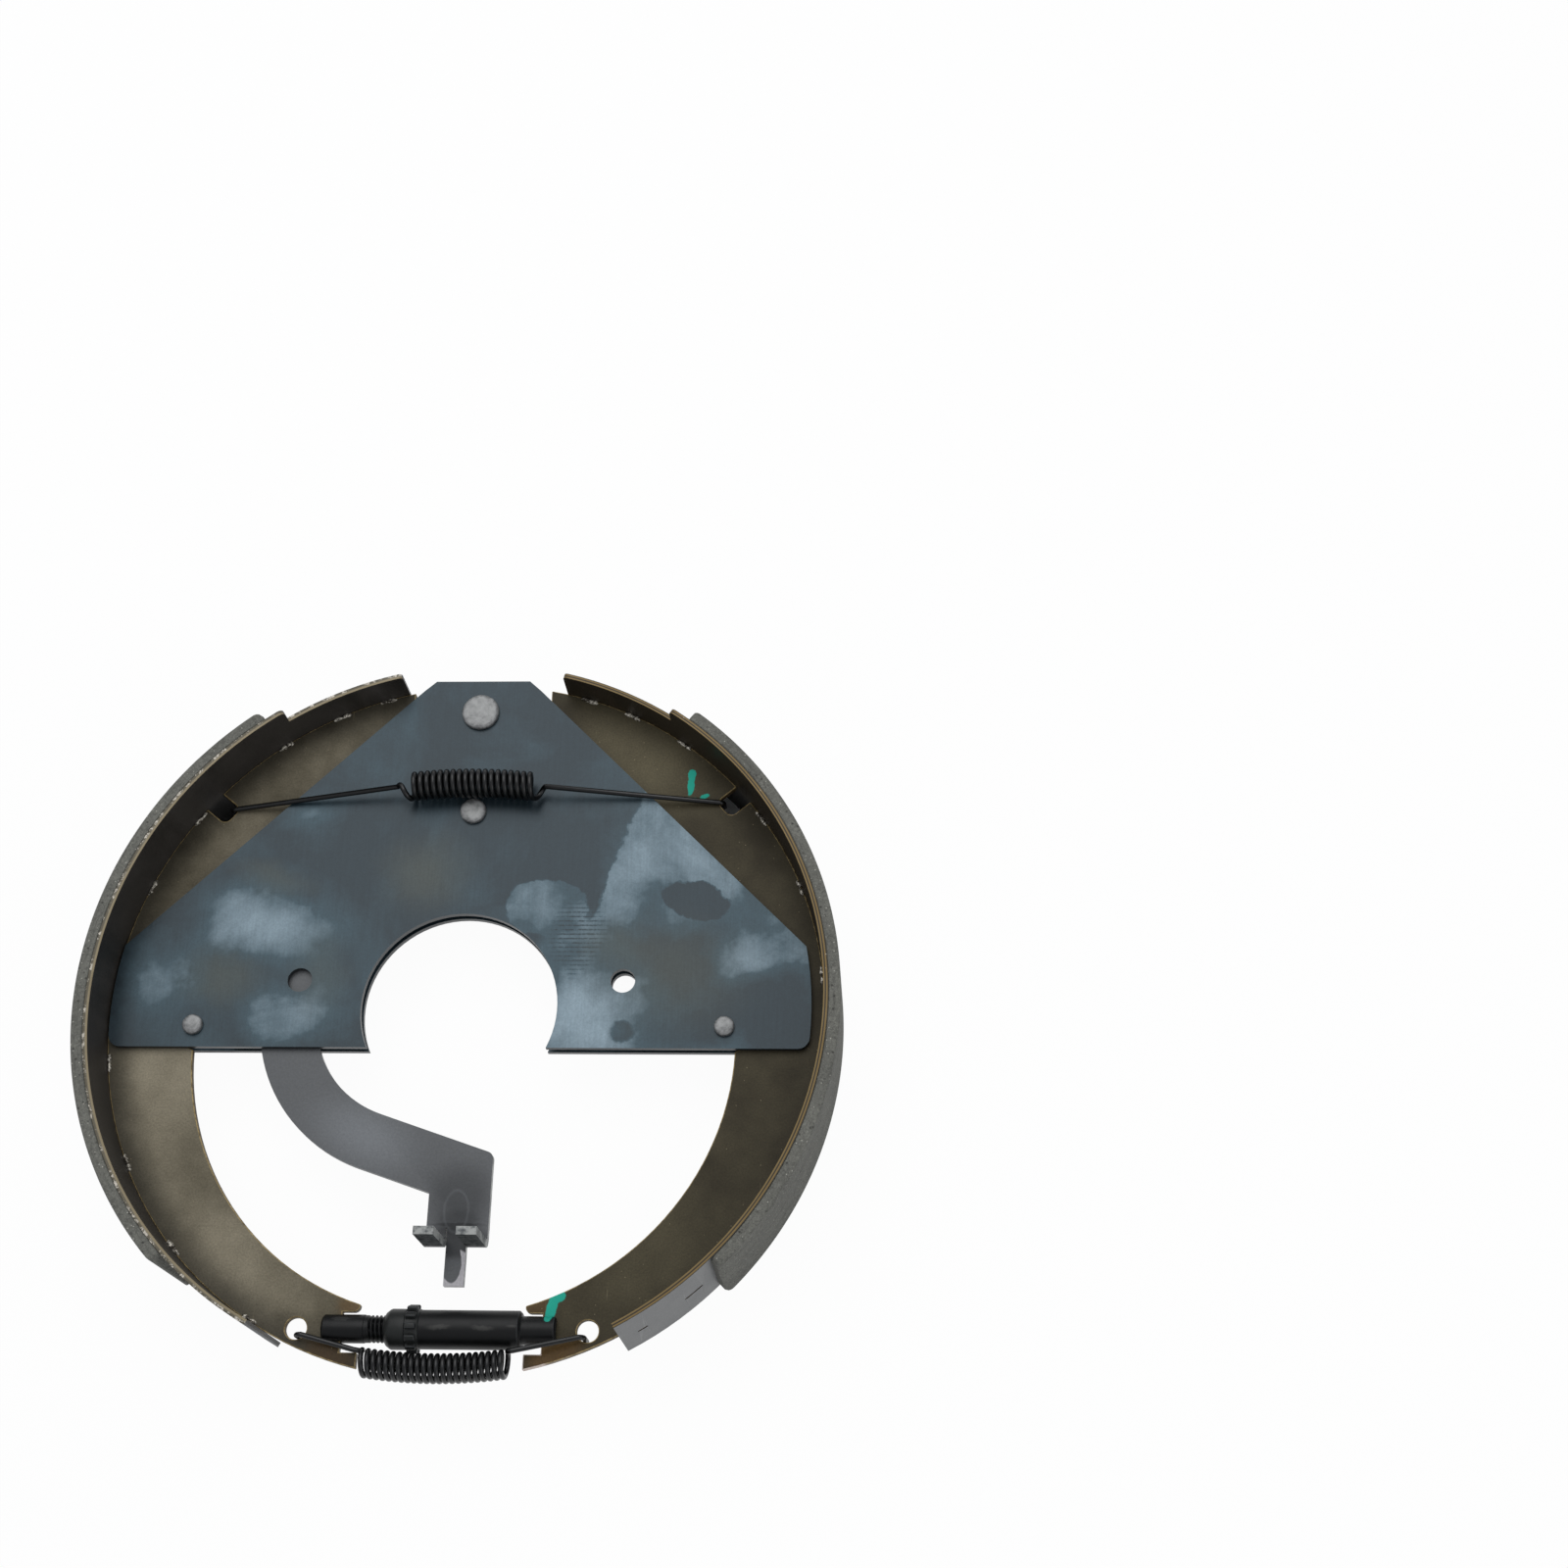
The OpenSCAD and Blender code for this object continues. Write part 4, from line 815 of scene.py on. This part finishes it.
def skin(bm, rings):
    """Faces between neighbouring closed rings of as many points."""
    for first, second in zip(rings, rings[1:]):
        for k in range(len(first)):
            after = (k + 1) % len(first)
            bm.faces.new((first[k], first[after], second[after], second[k]))


def node_copy(node):
    """A CAD node's mesh as a closed bmesh with its flat faces joined."""
    bm = bmesh.new()
    bm.from_mesh(nodes[node].data)
    bmesh.ops.remove_doubles(bm, verts=bm.verts, dist=3e-6)
    bmesh.ops.dissolve_limit(bm, angle_limit=math.radians(0.5), verts=bm.verts, edges=bm.edges)
    return bm


def stands_up(face):
    """Whether a face is a cut wall of a plate that lies flat."""
    return abs(face.normal.z) < 0.5


def lever_cut(face):
    """Whether a face is a cut edge of the lever: below, its walls; above, the wings' rims."""
    if face.calc_center_median().z < 3 * MM:
        return abs(face.normal.z) < 0.5 and face.normal.y > -0.5
    return face.normal.z > 0.5 or abs(face.normal.x) > 0.5


def lies_flat(face):
    """Whether a face is a cut edge of a shoe table."""
    return abs(face.normal.z) > 0.5


def eased_node(node, material, body, width, is_wall):
    """A CAD node with rounded edges, in place of the plain node."""
    bm = node_copy(node)
    soften(bm, width, is_wall)
    settle(node + "_eased", plain_mesh(bm, 12), material, body, [node])


eased_node("front_plate", front_scale, "lever_plates", 0.45, stands_up)
eased_node("rear_plate", rear_scale, "lever_plates", 0.45, stands_up)
eased_node("actuating_lever", lever_steel, "lever", 0.5, lever_cut)


def web_plate(side, material):
    """A web without its beads: its flat lower face, drawn up to its thickness and rounded."""
    bm = bmesh.new()
    bm.from_mesh(nodes[side + "_web"].data)
    bmesh.ops.remove_doubles(bm, verts=bm.verts, dist=3e-6)
    upper = [f for f in bm.faces if any(v.co.z > (WEB_LOW + 0.02) * MM for v in f.verts)]
    bmesh.ops.delete(bm, geom=upper, context="FACES")
    bmesh.ops.dissolve_limit(bm, angle_limit=math.radians(0.5), verts=bm.verts, edges=bm.edges)
    drawn = bmesh.ops.extrude_face_region(bm, geom=bm.faces[:])
    moved = [g for g in drawn["geom"] if isinstance(g, bmesh.types.BMVert)]
    bmesh.ops.translate(bm, vec=(0, 0, (WEB_TOP - WEB_LOW) * MM), verts=moved)
    bmesh.ops.recalc_face_normals(bm, faces=bm.faces)
    soften(bm, 0.4, stands_up)
    settle(side + "_web_eased", plain_mesh(bm, 12), material, side + "_shoe",
           [side + "_web"])


web_plate("left", left_phosphate)
web_plate("right", right_phosphate)
for side, coat in (("left", left_coat), ("right", right_coat)):
    eased_node(side + "_table", coat, side + "_shoe", 0.35, lies_flat)


def shoe_point(side, radius, angle, z):
    """A point of a shoe, from its radius and its angle from the top, in metres."""
    turn = math.radians(angle)
    reach = -radius * math.sin(turn) if side == "left" else radius * math.sin(turn)
    return Vector((SHOE_X + reach, -SHOE_DROP + radius * math.cos(turn), z)) * MM


def lining_section(chip, shrink, trim):
    """The lining's cross-section as (radius, z) points, rounded unevenly at its corners."""
    points = []
    outer, inner = LINING_R - shrink, TABLE_RO
    low, high = BACK_Z + shrink * 0.3 + trim, BACK_Z + SHOE_W - shrink * 0.3 - trim
    rows = 22
    for i in range(rows + 1):
        z = low + 0.7 + (high - low - 1.4) * i / rows
        points.append((outer, z))
    points += [(outer - 0.25 - chip[0], high - 0.2), (outer - 0.8 - chip[0], high)]
    points += [(inner + (outer - inner) * f, high) for f in (0.62, 0.4, 0.22)]
    points += [(inner + 0.45, high - 0.05), (inner, high - 0.5)]
    points += [(inner, low + 0.5), (inner + 0.45, low + 0.05)]
    points += [(inner + (outer - inner) * f, low) for f in (0.22, 0.4, 0.62)]
    points += [(outer - 0.8 - chip[1], low), (outer - 0.25 - chip[1], low + 0.2)]
    return points


def lining_piece(side):
    """A bonded lining: swept round the shoe, chipped along its rims, chamfered at its ends."""
    bm = bmesh.new()
    steps = 260
    rings = []
    for i in range(steps + 1):
        angle = LINING_TOP_A + (LINING_LOW_A - LINING_TOP_A) * i / steps
        spot = Vector((angle * 0.55, 3.7 if side == "left" else 9.1, 0.4))
        chip = [0.55 * max(0.0, noise.fractal(spot + Vector((0, k * 5.3, 0)), 1.0, 2.0, 3))
                for k in (0, 1)]
        ends = min(i, steps - i)
        shrink = (1.3, 0.5, 0.15)[ends] if ends < 3 else 0.0
        trim = 3.0 - math.sqrt(9.0 - (3.0 - ends) ** 2) if ends < 3 else 0.0
        section = lining_section(chip, shrink, trim)
        rings.append([bm.verts.new(shoe_point(side, r, angle, z)) for r, z in section])
    skin(bm, rings)
    bm.faces.new(rings[0])
    bm.faces.new(rings[-1])
    bmesh.ops.recalc_face_normals(bm, faces=bm.faces)
    settle(side + "_lining_block", plain_mesh(bm, 34), lining_finish, side + "_shoe",
           [side + "_lining"])


lining_piece("left")
lining_piece("right")


def turned_body(profile, sides, wobble=0.0):
    """A closed body turned about Z from (radius, height) points that start and end at 0."""
    bm = bmesh.new()
    rows = []
    for radius, height in profile:
        if radius == 0:
            rows.append([bm.verts.new((0, 0, height * MM))])
            continue
        row = []
        for k in range(sides):
            turn = 2 * math.pi * k / sides
            seed = Vector((math.cos(turn) * 1.3, math.sin(turn) * 1.3, height * 0.7))
            r = radius - wobble * max(0.0, noise.noise(seed))
            row.append(bm.verts.new((r * MM * math.cos(turn), r * MM * math.sin(turn),
                                     height * MM)))
        rows.append(row)
    for first, second in zip(rows, rows[1:]):
        for k in range(sides):
            a, b = first[k % len(first)], first[(k + 1) % len(first)]
            c, d = second[(k + 1) % len(second)], second[k % len(second)]
            bm.faces.new([v for i, v in enumerate((a, b, c, d)) if v not in (a, b, c, d)[:i]])
    bmesh.ops.recalc_face_normals(bm, faces=bm.faces)
    return bm


def rivet_piece(node, x, y, shank, head):
    """A headed rivet: low crowned heads with a rolled rim, slightly out of round."""
    top = FRONT_FACE + HEAD_H
    half = [(0, top), (head * 0.35, top - 0.02), (head * 0.62, top - 0.1),
            (head * 0.82, top - 0.22), (head * 0.93, top - 0.48), (head * 0.985, top - 0.9),
            (head, top - 1.4), (head * 0.99, FRONT_FACE + 0.25), (head * 0.96, FRONT_FACE),
            (shank, FRONT_FACE)]
    low = [(r, -z) for r, z in reversed(half)]
    bm = turned_body(half + low, 56, wobble=0.22)
    bmesh.ops.translate(bm, vec=(x * MM, y * MM, 0), verts=bm.verts)
    settle(node + "_headed", plain_mesh(bm, 50), rivet_finish, "lever_plates",
           [node])


rivet_piece("anchor_rivet", 0, ANCHOR_Y, shank=5.0, head=7.9)
rivet_piece("pivot_rivet", 0, PIVOT_Y, shank=3.4, head=5.4)
rivet_piece("left_rivet", -SPACER_X, -SPACER_DROP, shank=3.4, head=4.1)
rivet_piece("right_rivet", SPACER_X, -SPACER_DROP, shank=3.4, head=4.1)


# Springs

def tree_with(name, sockets):
    """A new Geometry Nodes tree with named inputs, and its input node."""
    tree = bpy.data.node_groups.new(name, "GeometryNodeTree")
    tree.interface.new_socket("Geometry", in_out="INPUT", socket_type="NodeSocketGeometry")
    for label, kind in sockets:
        tree.interface.new_socket(label, in_out="INPUT", socket_type="NodeSocket" + kind)
    tree.interface.new_socket("Geometry", in_out="OUTPUT", socket_type="NodeSocketGeometry")
    return tree, add(tree, "NodeGroupInput")


def close_tree(tree, start, shape):
    """Ends a tree with plain geometry in its material."""
    plain = add(tree, "GeometryNodeRealizeInstances", {"Geometry": shape})
    smooth = add(tree, "GeometryNodeSetShadeSmooth", {"Geometry": plain.outputs[0]})
    dressed = add(tree, "GeometryNodeSetMaterial",
                  {"Geometry": smooth.outputs[0], "Material": start.outputs["Material"]})
    add(tree, "NodeGroupOutput", {"Geometry": dressed.outputs[0]})


def grown(bm, tree, values):
    """The plain mesh that a tree makes of a source mesh."""
    source_mesh = bpy.data.meshes.new("source")
    bm.to_mesh(source_mesh)
    bm.free()
    source = bpy.data.objects.new("source", source_mesh)
    bpy.context.scene.collection.objects.link(source)
    modifier = source.modifiers.new("grow", "NODES")
    modifier.node_group = tree
    for item in tree.interface.items_tree:
        if item.item_type == "SOCKET" and item.in_out == "INPUT" and item.name in values:
            modifier[item.identifier] = values[item.name]
    bpy.context.view_layer.update()
    depsgraph = bpy.context.evaluated_depsgraph_get()
    mesh = bpy.data.meshes.new_from_object(source.evaluated_get(depsgraph))
    source.modifiers.remove(modifier)
    bpy.data.objects.remove(source)
    bpy.data.meshes.remove(source_mesh)
    return mesh


def outward(mesh):
    """Turns a closed mesh's faces outwards after merging its doubles."""
    bm = bmesh.new()
    bm.from_mesh(mesh)
    bmesh.ops.remove_doubles(bm, verts=bm.verts, dist=1e-7)
    bmesh.ops.recalc_face_normals(bm, faces=bm.faces)
    bm.to_mesh(mesh)
    bm.free()
    return mesh


def wire_tree():
    """Sweeps a round wire along the edges that come in."""
    tree, start = tree_with("swept wire", [("Wire radius", "Float"), ("Sides", "Int"),
                                           ("Material", "Material")])
    path = add(tree, "GeometryNodeMeshToCurve", {"Mesh": start.outputs["Geometry"]})
    ring = add(tree, "GeometryNodeCurvePrimitiveCircle",
               {"Radius": start.outputs["Wire radius"], "Resolution": start.outputs["Sides"]})
    swept = add(tree, "GeometryNodeCurveToMesh",
                {"Curve": path.outputs[0], "Profile Curve": ring.outputs[0], "Fill Caps": True})
    close_tree(tree, start, swept.outputs[0])
    return tree


def path_edges(points):
    """A chain of edges through points given in millimetres."""
    bm = bmesh.new()
    chain = [bm.verts.new(Vector(p) * MM) for p in points]
    for a, b in zip(chain, chain[1:]):
        bm.edges.new((a, b))
    return bm


def coil(turns, steps, phase, x0, length, y0, z0, radius, bow):
    """A close-wound coil along X whose middle bows along Y."""
    points = []
    for i in range(turns * steps + 1):
        u = i / (turns * steps)
        turn = math.radians(phase + 360 * i / steps)
        points.append((x0 + u * length,
                       y0 + bow * (1 - (2 * u - 1) ** 2) + radius * math.cos(turn),
                       z0 + radius * math.sin(turn)))
    return points


def arc(count, first, last, point):
    """Points for evenly spaced angles in degrees."""
    return [point(math.radians(first + (last - first) * i / count)) for i in range(count + 1)]


def slot_hook(hook, way, top_z, low_z, r):
    """A hook that reaches outwards, drops through the web and turns back behind it."""
    tail = 5.0
    over = arc(8, 0, 90, lambda a: (hook[0] + (math.sin(a) - 1) * r * way[0],
                                    hook[1] + (math.sin(a) - 1) * r * way[1],
                                    top_z - r + r * math.cos(a)))
    under = arc(8, 0, 90, lambda a: (hook[0] + (math.cos(a) - 1) * r * way[0],
                                     hook[1] + (math.cos(a) - 1) * r * way[1],
                                     low_z + r - r * math.sin(a)))
    return over + under + [(hook[0] - tail * way[0], hook[1] - tail * way[1], low_z)]


def retractor_points():
    """The upper spring's path in two halves, each from a hook to the coil's middle."""
    wr, outer, length, bow = RETRACTOR_WIRE_R, 12.4, 51.0, 1.5
    rise, rise_steps = 5.5, 14
    r = outer / 2 - wr
    y0, z0, x0 = PIVOT_Y + 8.3, FRONT_FACE + outer / 2 + 1.2, -length / 2
    hook_r, hook_side = TABLE_RI - SLOT_DEPTH + wr + 0.5, 2.0
    reach = math.hypot(hook_r, hook_side)
    top_z, low_z = WEB_TOP + wr + 0.2, WEB_LOW - wr - 0.3
    ends = {}
    for side, sign in (("left", -1), ("right", 1)):
        turn = math.radians(SLOT_ANGLES[side]) - math.atan2(hook_side, hook_r)
        hook = (SHOE_X + sign * reach * math.sin(turn), reach * math.cos(turn) - SHOE_DROP)
        way = Vector((hook[0] - sign * (rise - x0), hook[1] - y0)).normalized()
        ends[side] = slot_hook(hook, way, top_z, low_z, 1.6)

    def lead(sign):
        """The wire's rise from its straight run to the coil's first turn."""
        made = []
        for i in range(rise_steps):
            s = i / rise_steps
            turn = math.radians(60 + 120 * s if sign < 0 else 300 - 120 * s)
            swell = r * math.sin(math.radians(90 * s))
            made.append((sign * (rise * (1 - s) - x0), y0 + swell * math.cos(turn),
                         z0 + swell * math.sin(turn)))
        return made

    wound = coil(RETRACTOR_TURNS, COIL_STEPS, 180, x0, length, y0, z0, r, bow)
    middle = len(wound) // 2
    return {"left": ends["left"][::-1] + lead(-1) + wound[:middle + 1],
            "right": wound[middle:] + lead(1)[::-1] + ends["right"]}


def adjuster_points():
    """The lower spring's path in two halves, each from a web's hole to the coil's middle."""
    wr, outer, length, bow, fold = ADJUSTER_WIRE_R, 11.44, 55.4, 2.0, 2.0
    r = outer / 2 - wr
    y0, z0, x0 = -ADJUSTER_DROP - 13.4, 5.4, -length / 2 + 1.2
    hole_r = math.sqrt((TABLE_RI - HOOK_HOLE_RIM) ** 2 - HOOK_HOLE_X ** 2)
    hole_y = -SHOE_DROP - hole_r - 2.9
    left_x, right_x = SHOE_X - HOOK_HOLE_X + 1, SHOE_X + HOOK_HOLE_X - 1
    top_z, low_z = WEB_TOP + wr + 2.4, WEB_LOW - 3
    left = [(left_x, hole_y, low_z)]
    left += arc(6, 0, 90, lambda a: (left_x + fold * (1 - math.cos(a)), hole_y,
                                     top_z - fold + fold * math.sin(a)))
    left += [(x0 - 4, y0 + r + 0.4, z0 - fold)]
    left += arc(6, 15, 75, lambda a: (x0 - fold + fold * math.sin(a), y0 + r,
                                      z0 - fold * math.cos(a)))
    right = arc(6, 15, 90, lambda a: (x0 + length + fold * (1 - math.cos(a)), y0 + r,
                                      z0 + fold * math.sin(a)))
    right += arc(6, 90, 0, lambda a: (right_x - fold * (1 - math.cos(a)), hole_y,
                                      top_z - fold + fold * math.sin(a)))
    right += [(right_x, hole_y, low_z)]
    wound = coil(ADJUSTER_TURNS, COIL_STEPS, 0, x0, length, y0, z0, r, -bow)
    middle = len(wound) // 2
    return {"left": left + wound[:middle + 1], "right": wound[middle:] + right}


swept_wire = wire_tree()
# Each half runs from its coil's middle to its shoe's hook.
for part, halves, wire_r in (("retractor", retractor_points(), RETRACTOR_WIRE_R),
                             ("adjuster", adjuster_points(), ADJUSTER_WIRE_R)):
    for side, points in halves.items():
        centre, hooked = (points[-1], points[0]) if side == "left" else (points[0], points[-1])
        half = grown(path_edges(points), swept_wire,
                     {"Wire radius": wire_r * MM, "Sides": WIRE_SIDES, "Material": lacquer})
        settle(f"{part}_coil_{side}", outward(half), lacquer, "lever_plates",
               [f"{part}_spring"],
               (f"{side}_shoe", [v * MM for v in centre], [v * MM for v in hooked]))


# Weld beads

def bead_tree():
    """Sets a lumpy nugget on each incoming point, drawn out along the shoe and turned a little."""
    tree, start = tree_with("weld beads", [("Bead size", "Vector"), ("Lumps", "Float"),
                                           ("Centre", "Vector"), ("Seed", "Int"),
                                           ("Material", "Material")])
    ball = add(tree, "GeometryNodeMeshIcoSphere", {"Radius": 1.0, "Subdivisions": 4})
    sized = add(tree, "GeometryNodeTransform",
                {"Geometry": ball.outputs[0], "Scale": start.outputs["Bead size"]})
    where = add(tree, "GeometryNodeInputPosition")
    outwards = add(tree, "ShaderNodeVectorMath",
                   {0: where.outputs[0], 1: start.outputs["Centre"]}, operation="SUBTRACT")
    facing = add(tree, "FunctionNodeAlignRotationToVector", {"Vector": outwards.outputs[0]},
                 axis="Y")
    spread = add(tree, "FunctionNodeRandomValue",
                 {"Min": (0.75, 0.8, 0.8), "Max": (1.25, 1.1, 1.1),
                  "Seed": start.outputs["Seed"]}, data_type="FLOAT_VECTOR")
    set_down = add(tree, "GeometryNodeInstanceOnPoints",
                   {"Points": start.outputs["Geometry"], "Instance": sized.outputs[0],
                    "Rotation": facing.outputs[0], "Scale": spread.outputs[0]})
    plain = add(tree, "GeometryNodeRealizeInstances", {"Geometry": set_down.outputs[0]})
    lump = add(tree, "ShaderNodeTexNoise", {"Scale": per(1.7), "Detail": 2.0})
    centred = add(tree, "ShaderNodeVectorMath",
                  {0: lump.outputs["Color"], 1: (0.5, 0.5, 0.5)}, operation="SUBTRACT")
    push = add(tree, "ShaderNodeVectorMath",
               {0: centred.outputs[0], "Scale": start.outputs["Lumps"]}, operation="SCALE")
    lumpy = add(tree, "GeometryNodeSetPosition",
                {"Geometry": plain.outputs[0], "Offset": push.outputs[0]})
    close_tree(tree, start, lumpy.outputs[0])
    return tree


beads = bead_tree()
for side, seed in (("left", 4), ("right", 11)):
    dots = bmesh.new()
    for angle in WELD_ANGLES[side]:
        for shift in (-0.75, 0.6):
            dots.verts.new(shoe_point(side, TABLE_RI - 0.75, angle + shift, WEB_TOP + 0.1))
    made = grown(dots, beads, {
        "Bead size": [v * MM for v in BEAD_SIZE], "Lumps": BEAD_LUMPS * MM,
        "Centre": (SHOE_X * MM, -SHOE_DROP * MM, WEB_TOP * MM), "Seed": seed,
        "Material": nugget})
    settle(side + "_weld_beads", outward(made), nugget, side + "_shoe")


# Adjuster

def onto_adjuster(bm):
    """Turns a body made about Z onto the adjuster's axis along X."""
    bmesh.ops.rotate(bm, cent=(0, 0, 0), matrix=Matrix.Rotation(math.radians(90), 3, "Y"),
                     verts=bm.verts)
    bmesh.ops.translate(bm, vec=(0, -ADJUSTER_DROP * MM, 0), verts=bm.verts)
    bmesh.ops.recalc_face_normals(bm, faces=bm.faces)
    return bm


def screw_thread():
    """The screw's threaded run: a helical groove cut round a cylinder."""
    crest, root = SLOT_END_R - 0.2, SLOT_END_R - 1.1
    start, end = PLAIN_END - 0.6, HUB_X + HUB_LEN + 13.0
    sides, per_pitch = 48, 8
    rows = int((end - start) / THREAD_PITCH * per_pitch)
    bm = bmesh.new()
    grid = []
    for i in range(rows + 1):
        x = start + (end - start) * i / rows
        row = []
        for k in range(sides):
            phase = ((x - start) / THREAD_PITCH - k / sides) % 1.0
            depth = max(0.0, 1 - abs(phase - 0.5) / 0.36)
            faded = min(1.0, max(0.0, (x - PLAIN_END - 1.6) / 1.2))
            r = crest - (crest - root) * depth * faded
            if x < PLAIN_END + 0.1:
                r = root + 0.4
            turn = 2 * math.pi * k / sides
            row.append(bm.verts.new((r * MM * math.cos(turn), r * MM * math.sin(turn), x * MM)))
        grid.append(row)
    skin(bm, grid)
    bm.faces.new(grid[0])
    bm.faces.new(grid[-1])
    return onto_adjuster(bm)


def screw_piece():
    """The adjusting screw: its slotted end with eased corners, and its thread."""
    bm = node_copy("adjusting_screw")
    everything = bm.verts[:] + bm.edges[:] + bm.faces[:]
    cut = bmesh.ops.bisect_plane(bm, geom=everything, plane_co=((PLAIN_END + 0.2) * MM, 0, 0),
                                 plane_no=(1, 0, 0), clear_outer=True)
    rim = [g for g in cut["geom_cut"] if isinstance(g, bmesh.types.BMEdge)]
    bmesh.ops.contextual_create(bm, geom=rim)
    soften(bm, 0.3, lambda face: False)
    joined = bmesh.new()
    joined.from_mesh(plain_mesh(bm))
    joined.from_mesh(plain_mesh(screw_thread(), 40))
    settle("adjusting_screw_threaded", plain_mesh(joined, 40), screw_black, "lever_plates",
           ["adjusting_screw"])


def tooth_tree():
    """Sets copies of one tooth evenly round the adjuster's axis."""
    tree, start = tree_with("star teeth", [("Teeth", "Int"), ("Axis place", "Vector"),
                                           ("Material", "Material")])
    ring = add(tree, "GeometryNodeMeshCircle",
               {"Vertices": start.outputs["Teeth"], "Radius": 0.001})
    where = add(tree, "GeometryNodeInputPosition")
    facing = add(tree, "FunctionNodeAlignRotationToVector", {"Vector": where.outputs[0]},
                 axis="X")
    inward = add(tree, "ShaderNodeVectorMath", {0: where.outputs[0], "Scale": -1.0},
                 operation="SCALE")
    set_down = add(tree, "GeometryNodeInstanceOnPoints",
                   {"Points": ring.outputs[0], "Instance": start.outputs["Geometry"],
                    "Rotation": facing.outputs[0]})
    centred = add(tree, "GeometryNodeTranslateInstances",
                  {"Instances": set_down.outputs[0], "Translation": inward.outputs[0],
                   "Local Space": False})
    turned = add(tree, "GeometryNodeTransform",
                 {"Geometry": centred.outputs[0], "Rotation": (0, math.radians(90), 0),
                  "Translation": start.outputs["Axis place"]})
    close_tree(tree, start, turned.outputs[0])
    return tree


def star_piece():
    """The star wheel: a turned hub and its row of rounded teeth."""
    bore = SLOT_END_R - 0.1
    x0, x1 = HUB_X, HUB_X + HUB_LEN
    hub = bmesh.new()
    profile = [(bore, x0), (HUB_R - 1.9, x0), (HUB_R - 1.4, x0 + 0.3), (HUB_R - 0.3, x0 + 1.7),
               (HUB_R, x0 + 2.4), (HUB_R, x0 + 7.9), (HUB_R - 0.35, x0 + 8.1),
               (HUB_R - 0.35, x0 + 8.5), (HUB_R - 0.1, x0 + 8.6), (HUB_R - 0.1, x1 - 0.5),
               (HUB_R - 0.5, x1), (bore, x1)]
    sides = 72
    rows = []
    for r, x in profile:
        rows.append([hub.verts.new((r * MM * math.cos(2 * math.pi * k / sides),
                                    r * MM * math.sin(2 * math.pi * k / sides), x * MM))
                     for k in range(sides)])
    skin(hub, rows + rows[:1])
    onto_adjuster(hub)
    tooth = bmesh.new()
    bmesh.ops.create_cube(tooth, size=1.0, matrix=Matrix.Translation(
        ((STAR_R + HUB_R - 1.3) / 2 * MM, 0, (x0 + 10.5) * MM))
        @ Matrix.Diagonal(((STAR_R - HUB_R + 1.3) * MM, 2.5 * MM, 4.2 * MM, 1)))
    for v in tooth.verts:
        if v.co.x > HUB_R * MM:
            v.co.y *= 0.86
    soften(tooth, 0.45, lambda face: False)
    teeth = grown(tooth, tooth_tree(), {
        "Teeth": STAR_TEETH, "Axis place": (0, -ADJUSTER_DROP * MM, 0), "Material": star_black})
    hub.from_mesh(outward(teeth))
    settle("star_wheel_toothed", plain_mesh(hub, 40), star_black, "star",
           ["star_wheel"])


screw_piece()
star_piece()
eased_node("adjuster_socket", socket_black, "socket", 0.4, lambda face: False)

# The hidden sleeves keep their CAD shape.
for name in ("anchor_bush", "pivot_bush", "left_spacer", "right_spacer"):
    for hidden in nodes[name].material_slots:
        hidden.material = rivet_finish

# Floor, light and camera

reach, ground = 4.0, (BACK_Z - 0.05) * MM
stage_mesh = bpy.data.meshes.new("floor")
stage_mesh.from_pydata([(-reach, -reach, ground), (reach, -reach, ground),
                        (reach, reach, ground), (-reach, reach, ground)],
                       [], [(0, 1, 2, 3)])
stage_mesh.materials.append(white_floor())
floor = bpy.data.objects.new("floor", stage_mesh)
bpy.context.scene.collection.objects.link(floor)

world = bpy.data.worlds.new("studio")
bpy.context.scene.world = world
world.use_nodes = True
sky = world.node_tree
sky.nodes.clear()
room = add(sky, "ShaderNodeBackground", {"Color": (0.93, 0.95, 1.0, 1), "Strength": 0.5})
paper = add(sky, "ShaderNodeBackground", {"Color": (1, 1, 1, 1), "Strength": 1.0})
eye = add(sky, "ShaderNodeLightPath")
backdrop = add(sky, "ShaderNodeMixShader",
               {0: eye.outputs["Is Camera Ray"], 1: room.outputs[0], 2: paper.outputs[0]})
add(sky, "ShaderNodeOutputWorld", {"Surface": backdrop.outputs[0]})


def soft_box(name, place, aim, size, power):
    """A square studio light that faces a point."""
    light = bpy.data.lights.new(name, "AREA")
    light.shape = "SQUARE"
    light.size = size
    light.energy = power
    lamp = bpy.data.objects.new(name, light)
    lamp.location = place
    lamp.rotation_euler = (Vector(aim) - Vector(place)).to_track_quat("-Z", "Y").to_euler()
    bpy.context.scene.collection.objects.link(lamp)


soft_box("overhead", (-0.15, 0.75, 1.35), (0, 0, 0), 1.3, 11.0)
soft_box("side_fill", (0.9, -0.9, 0.9), (0, 0, 0), 0.9, 3.0)

# The camera that was fitted to the photograph.
eye_place = Vector((0.1768, -0.2776, 0.8830))
looking = Vector((-0.0499, 0.3919, -0.9187)).normalized()
upright = Vector((0.0017, 0.9198, 0.3923))
across = looking.cross(upright).normalized()
upright = across.cross(looking)
lens = bpy.data.cameras.new("view")
lens.sensor_width = 36.0
lens.sensor_fit = "HORIZONTAL"
lens.lens = 52.86
lens.clip_start = 0.05
lens.clip_end = 20.0
viewer = bpy.data.objects.new("view", lens)
viewer.matrix_world = Matrix((
    (across.x, upright.x, -looking.x, eye_place.x),
    (across.y, upright.y, -looking.y, eye_place.y),
    (across.z, upright.z, -looking.z, eye_place.z),
    (0, 0, 0, 1)))
bpy.context.scene.collection.objects.link(viewer)
bpy.context.scene.camera = viewer
bpy.context.scene.view_settings.view_transform = "Standard"
